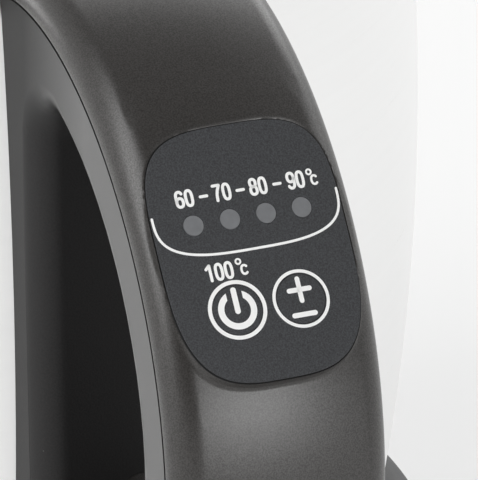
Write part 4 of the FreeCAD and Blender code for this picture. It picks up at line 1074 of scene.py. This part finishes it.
# The power sign's ring: inner and outer radius and half the gap at its top
POWER_RING = (1.9, 2.8, 1.15)
# Strokes from the middle of a key: first and last point and width
POWER_STROKES = (((0, 2.85), (0, -0.2), 0.8),)
PLUS_MINUS_STROKES = (
    ((-1.5, 1.3), (1.55, 1.3), 0.7),
    ((0.05, -0.3), (0.05, 2.85), 0.7),
    ((-1.55, -2.27), (1.55, -2.27), 0.72),
)


def oval(x, y, half_width, half_height, first=0, last=360, steps=40, square=0.85):
    """Points of a slightly squared oval between two angles."""
    angles = evenly(first, last, steps) + ([] if last - first == 360 else [last])
    spots = [squared(math.radians(angle), square) for angle in angles]
    return [(x + half_width * across, y + half_height * upright) for across, upright in spots]


def turned_over(points):
    return [(-x, -y) for x, y in points]


SIX_MIDDLE = 0.46
six_bowl = oval(0, -SIX_MIDDLE, FIGURE_HALF, FIGURE_TALL - SIX_MIDDLE)
six_stem = [(-FIGURE_HALF, -SIX_MIDDLE), (-FIGURE_HALF, 0.25)]
six_stem += oval(0.0, 0.35, FIGURE_HALF, FIGURE_TALL - 0.35, 180, 32, 24)
FIGURES = {
    "0": [(oval(0, 0, FIGURE_HALF, FIGURE_TALL, square=0.75), True)],
    "1": [
        ([(-0.36, 0.6), (0.16, FIGURE_TALL)], False),
        ([(0.16, FIGURE_TALL), (0.16, -FIGURE_TALL)], False),
    ],
    "6": [(six_bowl, True), (six_stem, False)],
    "7": [
        ([(-FIGURE_HALF, FIGURE_TALL), (FIGURE_HALF, FIGURE_TALL)], False),
        ([(FIGURE_HALF, FIGURE_TALL), (0.12, 0.35), (-0.05, -0.35), (-0.1, -FIGURE_TALL)], False),
    ],
    "8": [
        (oval(0, 0.55, FIGURE_HALF * 0.9, FIGURE_TALL - 0.55), True),
        (oval(0, -0.51, FIGURE_HALF, FIGURE_TALL - 0.51), True),
    ],
    "9": [(turned_over(six_bowl), True), (turned_over(six_stem), False)],
}


def stepped(points, closed, step=0.7):
    """Adds points along a line so that none is further than a step from the next."""
    points = [Vector(point) for point in points]
    ends = points[1:] + points[:1] if closed else points[1:]
    dense = []
    for point, other in zip(points, ends):
        count = max(1, math.ceil((other - point).length / step))
        dense += [point.lerp(other, index / count) for index in range(count)]
    return dense if closed else dense + points[-1:]


def ribbon(mesh, points, width, closed=False):
    """A flat stroke of ink with round ends along points of the panel's plane."""
    points = stepped(points, closed)
    count = len(points)
    left, right = [], []
    for index, point in enumerate(points):
        before = points[index - 1] if closed or index else point
        after = points[(index + 1) % count] if closed or index + 1 < count else point
        ahead = (after - before).normalized()
        side = Vector((-ahead.y, ahead.x)) * width / 2
        left.append(mesh.verts.new((*(point + side), 0)))
        right.append(mesh.verts.new((*(point - side), 0)))
    for index in range(count if closed else count - 1):
        ahead = (index + 1) % count
        mesh.faces.new((right[index], right[ahead], left[ahead], left[index]))
    if not closed:
        round_end(mesh, points[0], points[1], left[0], right[0], width)
        round_end(mesh, points[-1], points[-2], right[-1], left[-1], width)


def round_end(mesh, end, inner, first, last, width):
    """Closes a stroke with a half round from its first to its last corner."""
    away = end - inner
    heading = math.degrees(math.atan2(away.y, away.x))
    tips = arc(end, width / 2, heading - 90, heading + 90, 8)[1:-1]
    mesh.faces.new([first, *(mesh.verts.new((*tip, 0)) for tip in tips), last])


def cut_ring(mesh, x, y, inner, outer, half_gap, steps=72):
    """A ring of ink open at its top, the ends cut upright."""
    rows = []
    for radius in (inner, outer):
        gap = math.degrees(math.asin(half_gap / radius))
        points = arc((x, y), radius, 90 + gap, 450 - gap, steps)
        rows.append([mesh.verts.new((*point, 0)) for point in points])
    for step in range(steps):
        mesh.faces.new((rows[0][step], rows[0][step + 1], rows[1][step + 1], rows[1][step]))


def inked(name, mesh, node):
    """Lays flat ink on the panel's crown with its thickness and settles it."""
    for face in mesh.faces:
        face.normal_update()
        if face.normal.z < 0:
            face.normal_flip()
    rim = bmesh.ops.extrude_face_region(mesh, geom=mesh.faces[:])["geom"]
    top = {item for item in rim if isinstance(item, bmesh.types.BMVert)}
    for vertex in mesh.verts:
        vertex.co.z = crown(vertex.co.x) + (INK if vertex in top else -INK / 2)
    settled(on_panel(name, mesh), white_ink, node, replaces=False)


def written(mesh, text, x, y, pitch):
    """Writes figures in a row, centred on a point."""
    start = x - pitch * (len(text) - 1) / 2
    for index, figure in enumerate(text):
        for points, closed in FIGURES[figure]:
            moved = [(px + start + index * pitch, py + y) for px, py in points]
            ribbon(mesh, moved, FIGURE_STROKE, closed)


def sign(mesh, key, strokes):
    """Straight strokes round the middle of a key."""
    x, y = key
    for first, last, width in strokes:
        ribbon(mesh, [(x + first[0], y + first[1]), (x + last[0], y + last[1])], width)


def panel_print():
    """Everything printed on the film and on the two keys."""
    film = bmesh.new()
    for row in FIGURE_ROWS:
        written(film, *row)
    for x in DASHES:
        ribbon(film, [(x - DASH_HALF, DASH_ROW), (x + DASH_HALF, DASH_ROW)], FIGURE_STROKE)
    for ring, letter in DEGREE_MARKS:
        ribbon(film, oval(*ring, 0.35, 0.36, square=1.0), DEGREE_STROKE, closed=True)
        ribbon(film, oval(*letter, 0.43, 0.62, 42, 318, 32), LETTER_STROKE)
    bracket = oval(*BRACKET_MIDDLE, *BRACKET_HALF, 180, 360, 96, square=2 / BRACKET_SQUARENESS)
    ribbon(film, bracket, BRACKET_STROKE)
    for key, stroke in KEY_RING_STROKES:
        ribbon(film, oval(*key, KEY_RING, KEY_RING, steps=96, square=1.0), stroke, closed=True)
    inked("panel_print", film, "control_overlay")
    power = bmesh.new()
    cut_ring(power, *POWER_KEY, *POWER_RING)
    sign(power, POWER_KEY, POWER_STROKES)
    inked("power_sign", power, "power_key")
    signs = bmesh.new()
    sign(signs, TEMPERATURE_KEY, PLUS_MINUS_STROKES)
    inked("plus_minus_sign", signs, "temperature_key")


panel_print()

# Power base and the kettle's bottom
BASE_LOW = 2.0
BASE_RIM = 21.0
SEAT = 19.4
BASE_RADIUS = 77.0
BASE_WALL = 2.4
BASE_INSIDE = BASE_RADIUS - BASE_WALL
RIM_INSIDE = 68.2
SEAT_RADIUS = 67.0
POST_HOLE = 15.5
GLAND_HEIGHT = 11.0
GLAND_HOLE = 4.4
GLAND_BORE = 3.4
GLAND_LIP = 5.8
GLAND_CATCH = 5.4


def along_back(outline, steps):
    """Spins an outline about the level axis on which the cord enters the base at its back."""
    mesh = spun(outline, steps)
    level = Matrix.Rotation(math.pi / 2, 4, "Y")
    mesh.transform(Matrix.Translation((0, 0, GLAND_HEIGHT)) @ level)
    return mesh


base_outline = rounded([
    (BASE_INSIDE, BASE_LOW), (BASE_RADIUS, BASE_LOW, 0.5), (BASE_RADIUS, BASE_RIM, 4.0),
    (RIM_INSIDE, BASE_RIM, 0.6), (SEAT_RADIUS, SEAT, 0.5), (POST_HOLE, SEAT),
    (POST_HOLE, SEAT - BASE_WALL), (BASE_INSIDE, SEAT - BASE_WALL),
], 8)
base_shell = shaped("base_cover_moulding", spun(base_outline, 192))
cord_hole = along_back([(0, -82.0), (GLAND_HOLE, -82.0), (GLAND_HOLE, -70.0), (0, -70.0)], 48)
settled(carved(base_shell, shaped("cord_hole", cord_hole)), base_black, "base_cover")
gland = along_back(rounded([
    (GLAND_BORE, -78.4, 0.3), (GLAND_LIP, -78.4, 0.5), (GLAND_LIP, -77.0), (GLAND_HOLE, -77.0),
    (GLAND_HOLE, -73.6), (GLAND_CATCH, -73.6), (GLAND_CATCH, -72.2), (GLAND_BORE, -72.2),
]), 64)
settled(shaped("cord_gland_grommet", gland), foot_rubber, "cord_gland")
for node in ("bottom_cover", "base_plate", "base_connector", "kettle_connector", "swivel_collar"):
    smooth_copy(node, base_black)

FOOT_RADIUS = 6.0
FOOT_CIRCLE = 64.0
BASE_SCREW_CIRCLE = 50.0
BOTTOM_SCREW_CIRCLE = 57.0
BOTTOM_SCREW_SEAT = 25.3
COVER_SCREW_DEPTH = 16.0
SCREW_HEAD = 1.8
PLUG_RADIUS = 3.2
PLUG_DEPTH = 1.2
SPINE_FACE = -81.5
PLUG_HEIGHTS = (72.2, 128.2)


def cross_screw(head, height, shank, length):
    """A pan-head screw along +Z with its seat at zero and a cross recess in its head."""
    body = shaped("screw", spun(rounded([
        (0, -height), (head, -height, height * 0.45), (head, 0), (shank, 0), (shank, length), (0, length),
    ]), 32))
    slots = []
    long, narrow = head * 0.62, head * 0.13
    for size in ((long, narrow), (narrow, long)):
        slot = bmesh.new()
        bmesh.ops.create_cube(slot, size=2.0)
        slot.transform(Matrix.Translation((0, 0, -height)) @ Matrix.Diagonal((*size, height * 0.6, 1)))
        slots.append(shaped("slot", slot))
    return carved(body, *slots)


def disc(name, radius, height, edge):
    """A round pad along +Z whose lower edge is softened."""
    outline = rounded([(0, 0), (radius, 0, edge), (radius, height), (0, height)])
    return shaped(name, spun(outline, 40))


def around(radius, height, first, count):
    """Upright places on a circle, from a first angle in degrees."""
    angles = [math.radians(angle) for angle in evenly(first, first + 360, count)]
    return [((radius * math.cos(a), radius * math.sin(a), height), (0, 0, 1)) for a in angles]


foot = disc("foot", FOOT_RADIUS, BASE_LOW, 0.8)
screw = cross_screw(3.0, SCREW_HEAD, 1.5, 9.0)
knob_screw = cross_screw(4.0, SCREW_HEAD, 2.0, 12.2)
plug = disc("plug", PLUG_RADIUS, PLUG_DEPTH, 0.35)
base_screw_places = around(BASE_SCREW_CIRCLE, BASE_LOW + SCREW_HEAD, 0, 3)
bottom_screw_places = around(BOTTOM_SCREW_CIRCLE, BOTTOM_SCREW_SEAT, 0, 3)
cover_screw_places = [
    (ARCH_CENTRE + outward(75) * (ARCH_RADIUS - COVER_SCREW_DEPTH), outward(75)),
    (LOWER_CENTRE + outward(-14) * (LOWER_RADIUS - COVER_SCREW_DEPTH), outward(-14)),
]
knob_screw_places = [((0, 0, LID_TOP - LID_WALL), (0, 0, 1))]
plug_places = [((SPINE_FACE, 0, height), (1, 0, 0)) for height in PLUG_HEIGHTS]
spread("base_foot_pads", foot, around(FOOT_CIRCLE, 0, 45, 4), foot_rubber, "base_feet")
spread("base_cross_screws", screw, base_screw_places, screw_steel, "base_screws")
spread("bottom_cross_screws", screw, bottom_screw_places, screw_steel, "bottom_screws")
spread("cover_cross_screws", screw, cover_screw_places, screw_steel, "cover_screws")
spread("knob_cross_screw", knob_screw, knob_screw_places, screw_steel, "knob_screw")
spread("spine_plugs", plug, plug_places, handle_black, "screw_caps")
for pattern in (foot, screw, knob_screw, plug):
    bpy.data.objects.remove(pattern)

# Pieces that keep their CAD shape, in smooth copies where they are seen
smooth_copy("base_contacts", contact_brass)
smooth_copy("kettle_contacts", contact_brass)
smooth_copy("heater_plate", shell_steel)
smooth_copy("temperature_probe", screw_steel)
smooth_copy("probe_seal", seal_silicone)
painted(plate_aluminium, "heat_spreader")
painted(element_steel, "heating_element", "thermal_cutout")
painted(screw_steel, "plate_studs", "handle_brackets", "bracket_screws", "board_screws")
painted(seal_silicone, "bottom_seal")
painted(board_green, "relay_board", "control_board")
painted(component_black, "power_relay", "key_switches", "indicator_leds")
painted(cable_rubber, "handle_cable")


# Floor, light and camera
WHITE = (1, 1, 1)
FLOOR_HALF = 4000
FLOOR_WHITE = 0.55
DARK_SIDE = (-0.96, 0.28, -0.05)
OVERHEAD = ((0.0, 1.0), (0.3, 0.75), (0.75, 0.3), (1.0, 0.25))
BESIDE = ((0.0, 1.0), (0.35, 0.8), (0.8, 0.06), (1.0, 0.03))
LIGHTS_AIM = Vector((-0.06, 0, 0.1))
# Name, place, width and height, power
LIGHTS = (
    ("low_back_light", (-1.3, -0.24, 0.2), (0.45, 0.36), 5.4),
    ("left_light", (-0.14, 1.15, 1.0), (0.7, 1.8), 18.5),
    ("right_light", (0.2, -1.35, 0.9), (1.4, 1.0), 4.5),
    ("far_light", (1.05, -0.65, 0.75), (1.2, 0.8), 6.5),
)
CAMERA_PLACE = (-0.7622, 0.2473, 0.4804)
CAMERA_DIRECTION = (0.8326, -0.3219, -0.4508)


def stage_floor():
    """A pale floor; the camera and the metal see it nearer to white, with its shadows."""
    mesh = bmesh.new()
    bmesh.ops.create_grid(mesh, x_segments=2, y_segments=2, size=FLOOR_HALF)
    floor = shaped("floor", mesh)
    finish = Finish("pale_floor", roughness=0.9)
    tint = finish.noise(400.0)
    finish.give(base_color=finish.mix(tint, (0.86, 0.86, 0.855), (0.9, 0.9, 0.895)))
    white = finish.node("ShaderNodeEmission", sockets={"Color": (*WHITE, 1)})
    camera_ray = finish.node("ShaderNodeLightPath", output="Is Camera Ray")
    glossy_ray = finish.node("ShaderNodeLightPath", output="Is Glossy Ray")
    share = (camera_ray + glossy_ray) * FLOOR_WHITE
    lit = Tone(finish, finish.shader.outputs[0])
    pale = finish.node("ShaderNodeMixShader", sockets={0: share, 1: lit, 2: white})
    finish.join(finish.tree.nodes["Material Output"].inputs["Surface"], pale)
    floor.data.materials.append(finish.material)


def studio_world():
    """Pale surroundings, dimmer overhead and dark in one direction behind the handle."""
    world = bpy.data.worlds.new("studio")
    scene.world = world
    world.use_nodes = True
    nodes = Nodes(world.node_tree)
    place = nodes.node("ShaderNodeTexCoord", output="Generated")
    height = nodes.node("ShaderNodeSeparateXYZ", sockets={"Vector": place}, output="Z")
    towards_dark = nodes.node(
        "ShaderNodeVectorMath", {"operation": "DOT_PRODUCT"}, {0: place, 1: DARK_SIDE}, output="Value"
    )
    level = nodes.ramp(height, *OVERHEAD) * nodes.ramp(towards_dark, *BESIDE)
    seen = nodes.node("ShaderNodeLightPath", output="Is Camera Ray")
    background = world.node_tree.nodes["Background"]
    nodes.join(background.inputs["Color"], nodes.mix(seen, level, WHITE))


def pointed(name, data, place, direction):
    """Sets a lamp or a camera at a place, looking in a direction."""
    item = linked(name, data)
    item.location = place
    item.rotation_mode = "QUATERNION"
    item.rotation_quaternion = direction.to_track_quat("-Z", "Y")
    return item


stage_floor()
studio_world()
for name, place, size, power in LIGHTS:
    lamp = bpy.data.lights.new(name, "AREA")
    lamp.shape = "RECTANGLE"
    lamp.size, lamp.size_y = size
    lamp.energy = power
    pointed(name, lamp, place, LIGHTS_AIM - Vector(place))
camera = bpy.data.cameras.new("camera")
camera.lens = 412.0
camera.sensor_width = 36.0
camera.clip_end = 20.0
scene.camera = pointed("camera", camera, CAMERA_PLACE, Vector(CAMERA_DIRECTION))
scene.view_settings.view_transform = "Standard"
